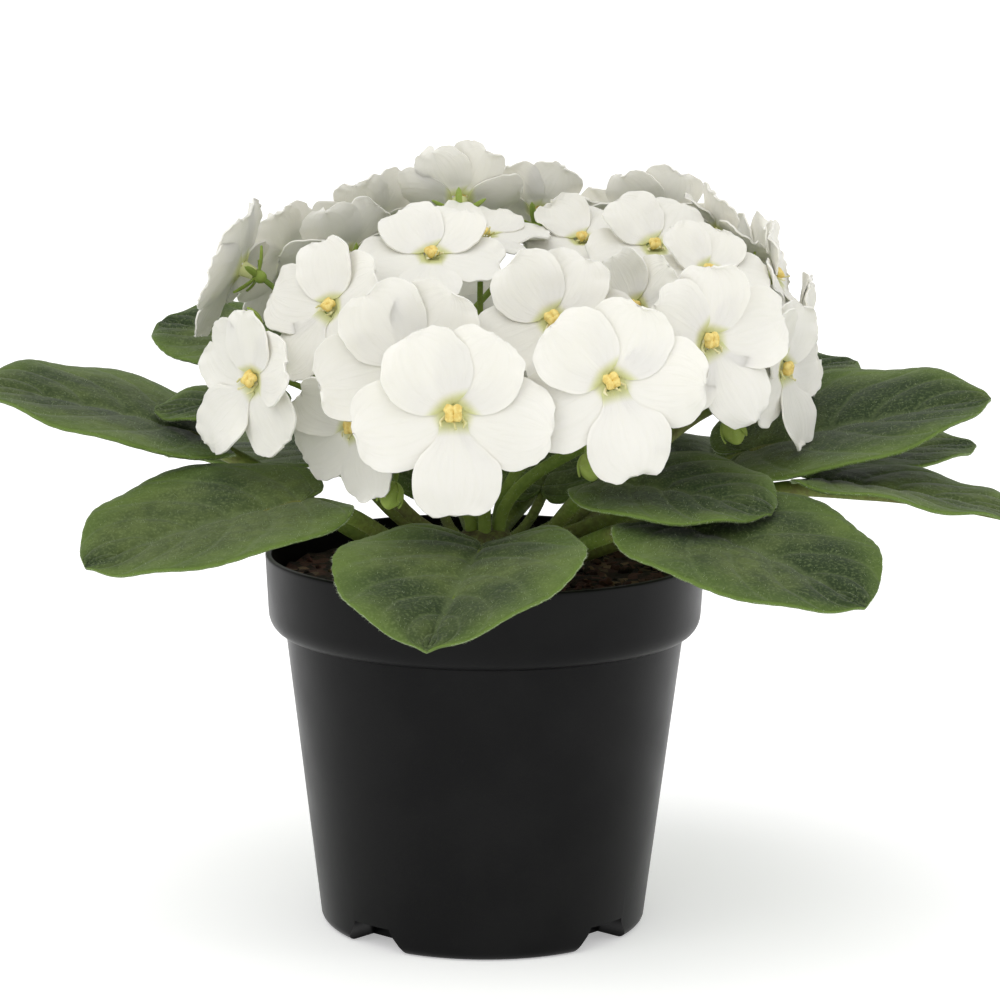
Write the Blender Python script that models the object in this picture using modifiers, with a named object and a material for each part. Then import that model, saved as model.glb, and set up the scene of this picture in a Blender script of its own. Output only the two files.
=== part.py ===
# Potted african violet: a black plastic grow pot filled with soil, a rosette of broad
# hairy leaves and a dome of white five-lobed blooms on green stalks.
# Metres, +Z up. The origin is the middle of the pot's underside, and the plant's front,
# where the lowest leaf hangs over the rim, faces -Y. Angles are degrees. Directions
# round the plant are azimuths: 0 is the front, and positive turns towards +X.

import math
from collections import namedtuple
from random import Random

import bmesh
import bpy
from mathutils import Matrix, Vector
from mathutils.bvhtree import BVHTree

# Clearance between solids that touch on the real plant, and the weld of equal points
GAP = 0.0003
SAME_POINT = 0.000001

# Pot
POT_HEIGHT = 0.0943
POT_RIM_RADIUS = 0.055
POT_RIM_ROUND = 0.0005
POT_COLLAR_RADIUS = 0.0542
POT_COLLAR_HEIGHT = 0.0143
POT_CREASE_RADIUS = 0.0499
POT_CREASE_Z = 0.0747
POT_FOOT_RADIUS = 0.041
POT_FOOT_ROUND = 0.0028
POT_WALL = 0.0013
POT_SIDES = 32
SHARP_ANGLE = 30

# Arches moulded into the foot of the pot, with a drain hole in the roof of each
ARCH_COUNT = 4
ARCH_FIRST_AZIMUTH = 48.5
ARCH_HEIGHT = 0.0062
ARCH_FOOT_HALF_WIDTH = 0.0092
ARCH_ROOF_HALF_WIDTH = 0.0058
ARCH_INNER_RADIUS = 0.0305
ARCH_STEPS = 4
DRAIN_RADIUS = 0.0028
DRAIN_SIDES = 8
DRAIN_CENTRE_RADIUS = 0.0355

# Soil and crown
SOIL_LEVEL = 0.0868
SOIL_LUMP = 0.0011
SOIL_RINGS = 3
SOIL_SEED = 11
CROWN_RADIUS = 0.0078
CROWN_NECK_RADIUS = 0.0066
CROWN_BURIED_Z = 0.079
CROWN_TOP_Z = 0.1005
CROWN_TOP_RADIUS = 0.0056
CROWN_SIDES = 12
LOWER_RING_Z = 0.0905
UPPER_RING_Z = 0.0962

# Leaves. The droop of a blade's edge is a share of its half width.
BLADE_THICKNESS = 0.0008
BLADE_STEPS = 8
YOUNG_BLADE_STEPS = 6
YOUNG_LENGTH = 0.035
BLADE_NOTCH = 0.14
BLADE_BROADEST = 0.36
LOBE_REACH = 0.33
BLADE_DROOP = 0.06
EDGE_SCALLOP = 0.014
EDGE_WAVE = 0.0006
# The outer half of a blade's outline, for a pointed and for a round leaf, in its length and width
POINTED_SHOULDER = (0.72, 0.5, 0)
ROUND_SHOULDER = (0.82, 0.5, 0)
POINTED_CORNER = (0.93, 0.16, 0)
ROUND_CORNER = (1.0, 0.32, 0)
PETIOLE_RADIUS = 0.0021
PETIOLE_SIDES = 6
PETIOLE_ROOT_RADIUS = 0.0019
PETIOLE_ROOT_LENGTH = 0.0012
PETIOLE_STEPS = 3
PETIOLE_RISE = 12
PETIOLE_LEAD = 0.4
PETIOLE_HOOK = 0.35
PETIOLE_SEAT = 0.8
MIDRIB_END_RADIUS = 0.0008
MIDRIB_RUN = 0.42
MIDRIB_SEAT = 0.7
FULL_LENGTH = 0.045

# Blooms
PETAL_THICKNESS = 0.0007
PETAL_WAVE = 0.0011
THROAT_RADIUS = 0.0019
THROAT_DEPTH = 0.0008
TUBE_LENGTH = 0.0034
TUBE_TIP = 0.0004
ANTHER_HEIGHT = 0.0022
SEAM_END = 0.36
SHOULDER_REACH = 0.70
TIP_REACH = 0.93
TIP_WIDTH = 0.60
SETTLE_STEP = 0.001
SETTLE_STEPS = 7
SETTLE_DEPTH = 1.5

# Stalks
PEDUNCLE_RADIUS = 0.0016
PEDUNCLE_SIDES = 6
PEDUNCLE_FOOT_RADIUS = 0.0038
PEDUNCLE_FOOT_LENGTH = 0.001
KNOT_RADIUS = 0.0022
PEDICEL_RADIUS = 0.0008
PEDICEL_SIDES = 4
STEM_STEPS = 3
STEM_LEAD = 0.35
STEM_HOOK = 0.45
PEDICEL_ROOM = 0.005
HOOK_LENGTHS = (0.010, 0.006, 0.003)
SEPAL_COUNT = 5
SEPAL_LENGTH = 0.0070
SEPAL_FORK_RADIUS = 0.0014
SEPAL_THICKNESS = 0.0007
SEPAL_RISE = 0.0023
CALYX_SEAT = THROAT_DEPTH + TUBE_LENGTH + TUBE_TIP + GAP
BUD_RADIUS = 0.0032
BUD_STRETCH = 1.25
BEND_REACHES = (0.003, 0.006, 0.009, 0.012, 0.016, 0.020)
BEND_DIRECTIONS = 8
ROOM_SAMPLES = 8
FAR_OFF = 0.01

LEAF_GREEN = (0.050, 0.105, 0.030)
CROWN_GREEN = (0.160, 0.170, 0.060)
STALK_GREEN = (0.170, 0.300, 0.050)
PETAL_WHITE = (0.860, 0.850, 0.800)
POT_BLACK = (0.012, 0.012, 0.013)
SOIL_BROWN = (0.050, 0.030, 0.020)
HAIRY = 0.6
SOFT = 0.55
SATIN = 0.38
CRUMBLY = 0.95

# A petal of a bloom of radius 1: its direction turned from the bloom's own up, length
# and half width, the seams with its two neighbours, and how far (in metres) its free
# end stands in front of the corolla's plane.
Petal = namedtuple("Petal", "axis length half_width seam_before seam_after layer")
PETALS = (
    Petal(33, 0.84, 0.37, 0, 66, 0.0012),
    Petal(104, 0.97, 0.42, 66, 142, -0.0004),
    Petal(180, 1.05, 0.41, 142, 218, 0.0010),
    Petal(256, 0.97, 0.42, 218, 294, -0.0004),
    Petal(327, 0.84, 0.37, 294, 360, 0.0012),
)

# A leaf: azimuth and height of its root on the crown, place of the blade's notch,
# azimuth that the blade heads for, pitch of the midrib at the notch and at the tip (up
# is positive), length and width, fold along the midrib, roll about it (positive lowers
# the left side, seen from the crown), and how blunt its tip is, from 0 to 1.
Leaf = namedtuple("Leaf", "root_azimuth root_z notch heading pitch_in pitch_out length width fold roll blunt")
LEAVES = {
    "leaf_01": Leaf(-78, LOWER_RING_Z, (-0.0710, -0.0050, 0.1240), -84, 18, 9, 0.057, 0.056, 6, 9, 0.3),
    "leaf_02": Leaf(-48, LOWER_RING_Z, (-0.0440, -0.0395, 0.1135), -63, -5, -20, 0.056, 0.053, 8, 12, 0.5),
    "leaf_03": Leaf(-3, LOWER_RING_Z, (-0.0010, -0.0560, 0.1050), -14, -10, -24, 0.050, 0.058, 14, -2, 0.2),
    "leaf_04": Leaf(36, LOWER_RING_Z, (0.0450, -0.0500, 0.1105), 52, -6, -22, 0.055, 0.056, 8, -10, 0.4),
    "leaf_05": Leaf(52, UPPER_RING_Z, (0.0300, -0.0350, 0.1180), 64, 0, -12, 0.042, 0.045, 6, -11, 0.5),
    "leaf_06": Leaf(84, UPPER_RING_Z, (0.0660, -0.0060, 0.1215), 88, 18, 8, 0.060, 0.058, 8, -14, 0.2),
    "leaf_07": Leaf(100, LOWER_RING_Z, (0.0690, 0.0150, 0.1160), 102, 5, -2, 0.058, 0.046, 8, -8, 0.2),
    "leaf_08": Leaf(67, LOWER_RING_Z, (0.0830, -0.0250, 0.1168), 76, -3, -14, 0.049, 0.042, 8, -1, 0.2),
    "leaf_09": Leaf(-115, UPPER_RING_Z, (-0.0500, 0.0280, 0.1395), -118, 14, 4, 0.040, 0.040, 6, 16, 0.6),
    "leaf_10": Leaf(-86, UPPER_RING_Z, (-0.0530, -0.0060, 0.1320), -88, 2, -10, 0.029, 0.026, 6, 12, 0.5),
    "leaf_11": Leaf(114, UPPER_RING_Z, (0.0600, 0.0350, 0.1290), 122, 14, 2, 0.044, 0.042, 6, -8, 0.2),
    "leaf_12": Leaf(-142, LOWER_RING_Z, (-0.0420, 0.0500, 0.1100), -140, 4, -14, 0.060, 0.058, 8, 6, 0.2),
    "leaf_13": Leaf(-165, UPPER_RING_Z, (-0.0120, 0.0580, 0.1220), -166, 12, -6, 0.056, 0.056, 8, 0, 0.2),
    "leaf_14": Leaf(174, LOWER_RING_Z, (0.0060, 0.0590, 0.1040), 176, -4, -20, 0.058, 0.058, 8, 0, 0.2),
    "leaf_15": Leaf(164, UPPER_RING_Z, (0.0330, 0.0520, 0.1220), 150, 12, -6, 0.056, 0.054, 8, 0, 0.2),
    "leaf_16": Leaf(138, LOWER_RING_Z, (0.0490, 0.0460, 0.1080), 134, 2, -14, 0.056, 0.054, 8, -6, 0.2),
    "leaf_17": Leaf(-140, UPPER_RING_Z, (-0.0120, 0.0200, 0.1075), -166, 40, 24, 0.030, 0.031, 8, 0, 0.6),
    "leaf_18": Leaf(139, UPPER_RING_Z, (0.0145, 0.0180, 0.1075), 158, 40, 24, 0.030, 0.034, 8, 0, 0.6),
}

# A bloom: place of its throat, azimuth and elevation that it faces, spin about that
# direction (positive turns it to the left, seen from its front), radius, and how far
# its petals' ends stand forward of the throat.
Bloom = namedtuple("Bloom", "throat azimuth elevation spin radius cup")
BLOOMS = {
    "bloom_01": Bloom((-0.0074, -0.0620, 0.1385), 2, 8, 0, 0.0245, 0.0010),
    "bloom_02": Bloom((0.0294, -0.0570, 0.1453), 4, 10, 13, 0.0235, 0.0005),
    "bloom_03": Bloom((0.0158, -0.0430, 0.1580), 0, 24, 8, 0.0205, 0.0015),
    "bloom_04": Bloom((0.0527, -0.0420, 0.1534), 26, 10, 28, 0.0215, 0.0015),
    "bloom_05": Bloom((-0.0178, -0.0470, 0.1483), -5, 10, 0, 0.0240, 0.0010),
    "bloom_06": Bloom((-0.0373, -0.0330, 0.1592), -40, 22, -20, 0.0195, 0.0010),
    "bloom_07": Bloom((-0.0546, -0.0350, 0.1420), -48, 2, -35, 0.0205, 0.0010),
    "bloom_08": Bloom((-0.0317, -0.0410, 0.1318), -30, -8, 20, 0.0180, 0.0015),
    "bloom_09": Bloom((-0.0132, -0.0240, 0.1712), 0, 52, 0, 0.0185, 0.0010),
    "bloom_10": Bloom((0.0721, -0.0220, 0.1442), 58, 2, 12, 0.0195, 0.0010),
    "bloom_11": Bloom((-0.0070, 0.0140, 0.1815), 178, 42, 0, 0.0165, 0.0060),
    "bloom_12": Bloom((0.0410, -0.0080, 0.1721), 8, 48, 0, 0.0180, 0.0010),
    "bloom_13": Bloom((-0.0607, -0.0060, 0.1660), -104, 24, 0, 0.0200, 0.0010),
    "bloom_14": Bloom((0.0505, -0.0190, 0.1665), 24, 46, 0, 0.0160, 0.0010),
    "bloom_15": Bloom((0.0368, -0.0310, 0.1596), -36, 18, 0, 0.0165, 0.0010),
    "bloom_16": Bloom((0.0235, 0.0010, 0.1725), 6, 62, 0, 0.0160, 0.0010),
    "bloom_17": Bloom((-0.0357, 0.0060, 0.1679), -150, 40, 0, 0.0175, 0.0030),
    "bloom_18": Bloom((0.0420, 0.0180, 0.1760), 168, 40, 0, 0.0175, 0.0040),
    "bloom_19": Bloom((0.0130, 0.0230, 0.1765), 164, 46, 0, 0.0160, 0.0050),
    "bloom_20": Bloom((0.0580, 0.0060, 0.1745), 110, 46, 0, 0.0155, 0.0010),
    "bloom_21": Bloom((0.0700, -0.0070, 0.1640), 80, 22, 0, 0.0155, 0.0010),
    "bloom_22": Bloom((0.0790, 0.0100, 0.1500), 84, 2, 0, 0.0165, 0.0010),
    "bloom_23": Bloom((0.0680, 0.0240, 0.1640), 110, 22, 0, 0.0165, 0.0010),
    "bloom_24": Bloom((-0.0280, 0.0220, 0.1745), -158, 46, 0, 0.0160, 0.0040),
    "bloom_25": Bloom((0.0062, -0.0360, 0.1470), -2, 6, 36, 0.0150, 0.0010),
    "bloom_26": Bloom((-0.0030, -0.0020, 0.1720), 20, 76, 0, 0.0175, 0.0010),
    "bloom_27": Bloom((-0.0510, 0.0260, 0.1640), -124, 20, 0, 0.0180, 0.0010),
    "bloom_28": Bloom((-0.0370, 0.0490, 0.1560), -146, 10, 0, 0.0185, 0.0010),
    "bloom_29": Bloom((-0.0120, 0.0540, 0.1470), -172, 6, 0, 0.0200, 0.0010),
    "bloom_30": Bloom((0.0170, 0.0560, 0.1480), 168, 6, 0, 0.0200, 0.0010),
    "bloom_31": Bloom((0.0420, 0.0490, 0.1510), 148, 8, 0, 0.0190, 0.0010),
    "bloom_32": Bloom((-0.0200, 0.0420, 0.1680), -162, 30, 0, 0.0180, 0.0010),
    "bloom_33": Bloom((0.0260, 0.0400, 0.1680), 164, 30, 0, 0.0180, 0.0010),
    "bloom_34": Bloom((0.0620, 0.0320, 0.1500), 126, 10, 0, 0.0175, 0.0010),
}

# A flower stalk: azimuth of its foot on the crown's top, the knot where its pedicels
# part, the blooms that it bears, and its buds, each as place, azimuth and elevation.
Stalk = namedtuple("Stalk", "foot_azimuth knot blooms buds")
STALKS = {
    "flower_stalk_1": Stalk(-63, (-0.0260, -0.0140, 0.1260), (6, 7, 8, 13, 17, 27),
                            (((-0.0225, -0.0400, 0.1150), -20, -50), ((-0.0580, -0.0180, 0.1540), -80, 30))),
    "flower_stalk_2": Stalk(62, (0.0300, -0.0160, 0.1280), (2, 4, 10, 14, 15, 21, 22),
                            (((0.0250, -0.0440, 0.1230), 20, -60), ((0.0600, -0.0250, 0.1290), 50, -60))),
    "flower_stalk_3": Stalk(-3, (-0.0010, -0.0160, 0.1340), (1, 3, 5, 9, 12, 16, 25, 26), ()),
    "flower_stalk_4": Stalk(-135, (-0.0190, 0.0190, 0.1350), (11, 19, 24, 28, 29, 32), ()),
    "flower_stalk_5": Stalk(127, (0.0280, 0.0200, 0.1350), (18, 20, 23, 30, 31, 33, 34), ()),
}


def clear_scene():
    for obj in list(bpy.data.objects):
        bpy.data.objects.remove(obj)


def new_collection(name):
    collection = bpy.data.collections.new(name)
    bpy.context.scene.collection.children.link(collection)
    return collection


def add_object(name, mesh, collection):
    obj = bpy.data.objects.new(name, mesh)
    collection.objects.link(obj)
    return obj


def add_piece(name, mesh, colour, roughness):
    # A finished sub-part with a material of its own
    material = bpy.data.materials.new(name)
    material.use_nodes = True
    material.diffuse_color = (*colour, 1.0)
    shader = material.node_tree.nodes["Principled BSDF"]
    shader.inputs["Base Color"].default_value = (*colour, 1.0)
    shader.inputs["Roughness"].default_value = roughness
    shader.inputs["Metallic"].default_value = 0.0
    mesh.materials.clear()
    mesh.materials.append(material)
    return add_object(name, mesh, plant)


def to_mesh(bm, name):
    mesh = bpy.data.meshes.new(name)
    bm.to_mesh(mesh)
    bm.free()
    return mesh


def applied(obj):
    # The object's mesh as its modifiers leave it, in place of the object
    depsgraph = bpy.context.evaluated_depsgraph_get()
    mesh = bpy.data.meshes.new_from_object(obj.evaluated_get(depsgraph))
    bpy.data.objects.remove(obj)
    return mesh


def weld(mesh):
    bm = bmesh.new()
    bm.from_mesh(mesh)
    bmesh.ops.remove_doubles(bm, verts=bm.verts, dist=SAME_POINT)
    bm.to_mesh(mesh)
    bm.free()
    return mesh


def turned(name, profile, sides):
    # A profile of (radius, height) turned round the pot's axis
    mesh = bpy.data.meshes.new(name)
    points = [(radius, 0.0, height) for radius, height in profile]
    edges = [(i, i + 1) for i in range(len(points) - 1)]
    mesh.from_pydata(points, edges, [])
    obj = add_object(name, mesh, workshop)
    screw = obj.modifiers.new("Turn", "SCREW")
    screw.steps = sides
    screw.render_steps = sides
    screw.use_merge_vertices = True
    screw.merge_threshold = SAME_POINT
    return weld(applied(obj))


def tube(name, points, radii, sides):
    # A stem along the points, as thick at each as its radius there
    curve = bpy.data.curves.new(name, "CURVE")
    curve.dimensions = "3D"
    curve.bevel_depth = 1.0
    curve.bevel_resolution = (sides - 4) // 2
    curve.use_fill_caps = True
    spline = curve.splines.new("POLY")
    spline.points.add(len(points) - 1)
    for target, point, radius in zip(spline.points, points, radii):
        target.co = (*point, 1.0)
        target.radius = radius
    return weld(applied(add_object(name, curve, workshop)))


def joined(name, body, pieces, operation):
    # The body's mesh with the pieces grown on to it, or cut from it, as one solid
    base = add_object(name, body, workshop)
    group = new_collection(name + " pieces")
    for i, piece in enumerate(pieces):
        tool = add_object(f"{name} piece {i}", piece, group)
        tool.hide_render = True
        tool.display_type = "WIRE"
    boolean = base.modifiers.new("Join", "BOOLEAN")
    boolean.operation = operation
    boolean.operand_type = "COLLECTION"
    boolean.collection = group
    mesh = applied(base)
    for obj in list(group.objects):
        bpy.data.objects.remove(obj)
    bpy.data.collections.remove(group)
    return weld(mesh)


def bezier(controls, t):
    a, b, c, d = (Vector(point) for point in controls)
    s = 1.0 - t
    return a * s ** 3 + b * (3 * s * s * t) + c * (3 * s * t * t) + d * t ** 3


def direction(azimuth, elevation=0.0):
    azimuth = math.radians(azimuth)
    elevation = math.radians(elevation)
    flat = math.cos(elevation)
    return Vector((math.sin(azimuth) * flat, -math.cos(azimuth) * flat, math.sin(elevation)))


def arch_azimuths():
    return [ARCH_FIRST_AZIMUTH + i * 360 / ARCH_COUNT for i in range(ARCH_COUNT)]


def arch_blocks(grow):
    # The four blocks that hollow out the arches, grown on every side by a wall
    outline = [(ARCH_FOOT_HALF_WIDTH + grow, -POT_WALL)]
    for i in range(ARCH_STEPS):
        t = i / (ARCH_STEPS - 1)
        ease = t * t * (3 - 2 * t)
        half = ARCH_FOOT_HALF_WIDTH + (ARCH_ROOF_HALF_WIDTH - ARCH_FOOT_HALF_WIDTH) * ease
        outline.append((half + grow, (ARCH_HEIGHT + grow) * t))
    outline += [(-x, z) for x, z in reversed(outline)]
    blocks = []
    for azimuth in arch_azimuths():
        bm = bmesh.new()
        face = bm.faces.new([bm.verts.new((x, grow - ARCH_INNER_RADIUS, z)) for x, z in outline])
        out = bmesh.ops.extrude_face_region(bm, geom=[face])
        outer = [element for element in out["geom"] if isinstance(element, bmesh.types.BMVert)]
        bmesh.ops.translate(bm, verts=outer, vec=(0, -POT_FOOT_RADIUS, 0))
        bmesh.ops.recalc_face_normals(bm, faces=bm.faces)
        bmesh.ops.rotate(bm, verts=bm.verts, matrix=Matrix.Rotation(math.radians(azimuth), 3, "Z"))
        blocks.append(to_mesh(bm, "arch block"))
    return blocks


def drain_pins():
    pins = []
    for azimuth in arch_azimuths():
        place = direction(azimuth) * DRAIN_CENTRE_RADIUS
        place.z = ARCH_HEIGHT + POT_WALL / 2
        bm = bmesh.new()
        bmesh.ops.create_cone(bm, cap_ends=True, segments=DRAIN_SIDES, radius1=DRAIN_RADIUS,
                              radius2=DRAIN_RADIUS, depth=4 * POT_WALL)
        bmesh.ops.translate(bm, verts=bm.verts, vec=place)
        pins.append(to_mesh(bm, "drain pin"))
    return pins


def pot_outside():
    # From the rim's outer edge down the collar, shoulder and wall to the underside
    collar_z = POT_HEIGHT - POT_COLLAR_HEIGHT
    profile = [
        (POT_RIM_RADIUS - POT_RIM_ROUND, POT_HEIGHT),
        (POT_RIM_RADIUS, POT_HEIGHT - POT_RIM_ROUND),
        (POT_COLLAR_RADIUS, collar_z),
    ]
    for angle in (35, 65, 90):
        turn = math.radians(angle)
        radius = POT_CREASE_RADIUS + (POT_COLLAR_RADIUS - POT_CREASE_RADIUS) * math.cos(turn)
        profile.append((radius, collar_z - (collar_z - POT_CREASE_Z) * math.sin(turn)))
    corner = POT_FOOT_RADIUS - POT_FOOT_ROUND
    for angle in (0, 45, 90):
        turn = math.radians(angle)
        radius = corner + POT_FOOT_ROUND * math.cos(turn)
        profile.append((radius, POT_FOOT_ROUND * (1 - math.sin(turn))))
    profile.append((0.0, 0.0))
    return profile


def pot_inside(inset):
    # From the collar down the inner wall to the middle of the floor, set in from the
    # outside by the wall, or by the wall and a gap
    collar_z = POT_HEIGHT - POT_COLLAR_HEIGHT
    return [
        (POT_COLLAR_RADIUS - inset, collar_z),
        (POT_CREASE_RADIUS - inset, POT_CREASE_Z),
        (POT_FOOT_RADIUS - inset, POT_FOOT_ROUND),
        (POT_FOOT_RADIUS - POT_FOOT_ROUND, inset),
        (0.0, inset),
    ]


def make_pot():
    above = POT_HEIGHT + POT_WALL
    hollow = [(0.0, above), (POT_RIM_RADIUS - POT_WALL, above)] + pot_inside(POT_WALL)
    hollow = joined("hollow", turned("hollow", hollow, POT_SIDES), arch_blocks(POT_WALL), "DIFFERENCE")
    solid = turned("pot blank", [(0.0, POT_HEIGHT)] + pot_outside(), POT_SIDES)
    mesh = joined("pot", solid, [hollow] + arch_blocks(0.0), "DIFFERENCE")
    mesh = joined("pot", mesh, drain_pins(), "DIFFERENCE")
    mesh.shade_smooth()
    mesh.set_sharp_from_angle(angle=math.radians(SHARP_ANGLE))
    return add_piece("pot", mesh, POT_BLACK, SATIN)


def make_soil():
    # Filled to the collar, loose and lumpy on top, with a plain hole for the crown
    hole = CROWN_RADIUS + GAP
    inset = POT_WALL + GAP
    edge = POT_COLLAR_RADIUS - inset
    profile = [(0.0, CROWN_BURIED_Z - GAP), (hole, CROWN_BURIED_Z - GAP)]
    for i in range(SOIL_RINGS):
        profile.append((hole + (edge - hole) * i / (SOIL_RINGS - 1), SOIL_LEVEL))
    blank = turned("soil blank", profile + pot_inside(inset), POT_SIDES)
    mesh = joined("soil", blank, arch_blocks(inset), "DIFFERENCE")
    draw = Random(SOIL_SEED)
    for vertex in mesh.vertices:
        radius = math.hypot(vertex.co.x, vertex.co.y)
        if vertex.co.z > SOIL_LEVEL - GAP and radius > hole + GAP:
            vertex.co.z += draw.uniform(-SOIL_LUMP, SOIL_LUMP)
    return add_piece("soil", mesh, SOIL_BROWN, CRUMBLY)


def make_crown():
    profile = [
        (0.0, CROWN_TOP_Z),
        (CROWN_TOP_RADIUS, CROWN_TOP_Z),
        (CROWN_RADIUS, UPPER_RING_Z + PETIOLE_ROOT_RADIUS),
        (CROWN_RADIUS, LOWER_RING_Z - PETIOLE_ROOT_RADIUS),
        (CROWN_NECK_RADIUS, SOIL_LEVEL - SOIL_LUMP),
        (CROWN_NECK_RADIUS, CROWN_BURIED_Z),
        (0.0, CROWN_BURIED_Z),
    ]
    return add_piece("crown", turned("crown", profile, CROWN_SIDES), CROWN_GREEN, HAIRY)


def blade_outline(t, blunt):
    # Half of a heart-shaped blade of length and width 1, from its notch to its tip: the
    # distance along the midrib and the half width there
    if t < 0.5:
        controls = ((0, 0, 0), (-LOBE_REACH, 0.06, 0), (-0.12, 0.5, 0), (BLADE_BROADEST, 0.5, 0))
        return bezier(controls, t * 2)
    shoulder = Vector(POINTED_SHOULDER).lerp(Vector(ROUND_SHOULDER), blunt)
    corner = Vector(POINTED_CORNER).lerp(Vector(ROUND_CORNER), blunt)
    controls = ((BLADE_BROADEST, 0.5, 0), shoulder, corner, (1, 0, 0))
    return bezier(controls, t * 2 - 1)


def blade_bend(leaf, along, across):
    # A point of the flat blade carried on to the bent one, with the blade's up there
    bend = max(along, 0.0) * (leaf.pitch_out - leaf.pitch_in)
    pitch = math.radians(leaf.pitch_in + bend)
    mean_pitch = math.radians(leaf.pitch_in + bend / 2)
    out = direction(leaf.heading)
    left = Vector((-out.y, out.x, 0.0))
    top = Vector((0.0, 0.0, 1.0))
    spine = (out * math.cos(mean_pitch) + top * math.sin(mean_pitch)) * (along * leaf.length)
    up = top * math.cos(pitch) - out * math.sin(pitch)
    roll = math.radians(leaf.roll)
    side = left * math.cos(roll) - up * math.sin(roll)
    up = up * math.cos(roll) + left * math.sin(roll)
    half = leaf.width / 2
    reach = across * leaf.width
    lift = abs(reach) * math.sin(math.radians(leaf.fold)) - BLADE_DROOP * half * (reach / half) ** 2
    return Vector(leaf.notch) + spine + side * reach + up * lift, up


def blade_point(leaf, t, across, wave):
    # Across runs from -1 to 1, from edge to edge, and wave is 1 or -1 on the edge
    outline = blade_outline(t, leaf.blunt)
    share = abs(across)
    midrib = max(0.0, (t - BLADE_NOTCH) / (1.0 - BLADE_NOTCH))
    along = midrib + (outline.x - midrib) * share
    point, up = blade_bend(leaf, along, outline.y * across * (1.0 + wave * EDGE_SCALLOP))
    return point + up * (wave * EDGE_WAVE)


def blade_mesh(leaf):
    steps = BLADE_STEPS if leaf.length > YOUNG_LENGTH else YOUNG_BLADE_STEPS
    bm = bmesh.new()
    bmesh.ops.create_grid(bm, x_segments=4, y_segments=steps, size=1)
    for vert in bm.verts:
        step = round((vert.co.y + 1) / 2 * steps)
        on_edge = abs(vert.co.x) > 0.9 and 0 < step < steps
        wave = (-1) ** step if on_edge else 0
        vert.co = blade_point(leaf, step / steps, vert.co.x, wave)
    bmesh.ops.remove_doubles(bm, verts=bm.verts, dist=SAME_POINT)
    bmesh.ops.triangulate(bm, faces=bm.faces)
    bmesh.ops.recalc_face_normals(bm, faces=bm.faces)
    obj = add_object("blade", to_mesh(bm, "blade"), workshop)
    solid = obj.modifiers.new("Thickness", "SOLIDIFY")
    solid.thickness = BLADE_THICKNESS
    solid.offset = 0
    return applied(obj)


def petiole_mesh(leaf):
    # From the crown's side out to the notch, then on under the blade as its midrib
    outward = direction(leaf.root_azimuth)
    growth = min(1.0, leaf.length / FULL_LENGTH)
    root_radius = PETIOLE_ROOT_RADIUS * growth
    radius = PETIOLE_RADIUS * growth
    root = outward * (CROWN_RADIUS + GAP) + Vector((0, 0, leaf.root_z))
    start = root + outward * PETIOLE_ROOT_LENGTH
    notch, up = blade_bend(leaf, 0.0, 0.0)
    heading = (blade_bend(leaf, MIDRIB_RUN / 4, 0.0)[0] - notch).normalized()
    seat = notch - up * (radius * PETIOLE_SEAT) + heading * radius
    span = (seat - start).length
    rising = direction(leaf.root_azimuth, PETIOLE_RISE)
    controls = (start, start + rising * span * PETIOLE_LEAD, seat - heading * span * PETIOLE_HOOK, seat)
    points = [root]
    radii = [root_radius]
    for i in range(PETIOLE_STEPS + 1):
        t = i / PETIOLE_STEPS
        points.append(bezier(controls, t))
        radii.append(root_radius + (radius - root_radius) * t)
    far, up = blade_bend(leaf, MIDRIB_RUN, 0.0)
    points.append(far - up * (MIDRIB_END_RADIUS * MIDRIB_SEAT))
    radii.append(MIDRIB_END_RADIUS)
    return tube("petiole", points, radii, PETIOLE_SIDES)


def make_leaf(name, leaf):
    mesh = joined(name, blade_mesh(leaf), [petiole_mesh(leaf)], "UNION")
    return add_piece(name, mesh, LEAF_GREEN, HAIRY)


def bloom_frame(bloom):
    # The bloom's own X to its right, Y up and Z forward, as seen from its front
    facing = direction(bloom.azimuth, bloom.elevation)
    azimuth = math.radians(bloom.azimuth)
    right = Vector((math.cos(azimuth), math.sin(azimuth), 0.0))
    axes = Matrix((right, facing.cross(right), facing)).transposed().to_4x4()
    spin = Matrix.Rotation(math.radians(bloom.spin), 4, "Z")
    return Matrix.Translation(bloom.throat) @ axes @ spin


def petal_direction(angle):
    angle = math.radians(angle)
    return Vector((-math.sin(angle), math.cos(angle)))


def petal_rows(petal):
    # Rows of a petal from the throat to its tip, each as three points across it
    along = petal_direction(petal.axis)
    aside = Vector((-along.y, along.x))
    before = petal_direction(petal.seam_before)
    after = petal_direction(petal.seam_after)
    half = aside * petal.half_width
    throat = (before, along, after)
    fork = (before * SEAM_END, along * SEAM_END, after * SEAM_END)
    middle = along * (petal.length * SHOULDER_REACH)
    shoulder = (middle - half, middle, middle + half)
    corner = along * (petal.length * TIP_REACH)
    tip = (corner - half * TIP_WIDTH, along * petal.length, corner + half * TIP_WIDTH)
    return throat, fork, shoulder, tip


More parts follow.
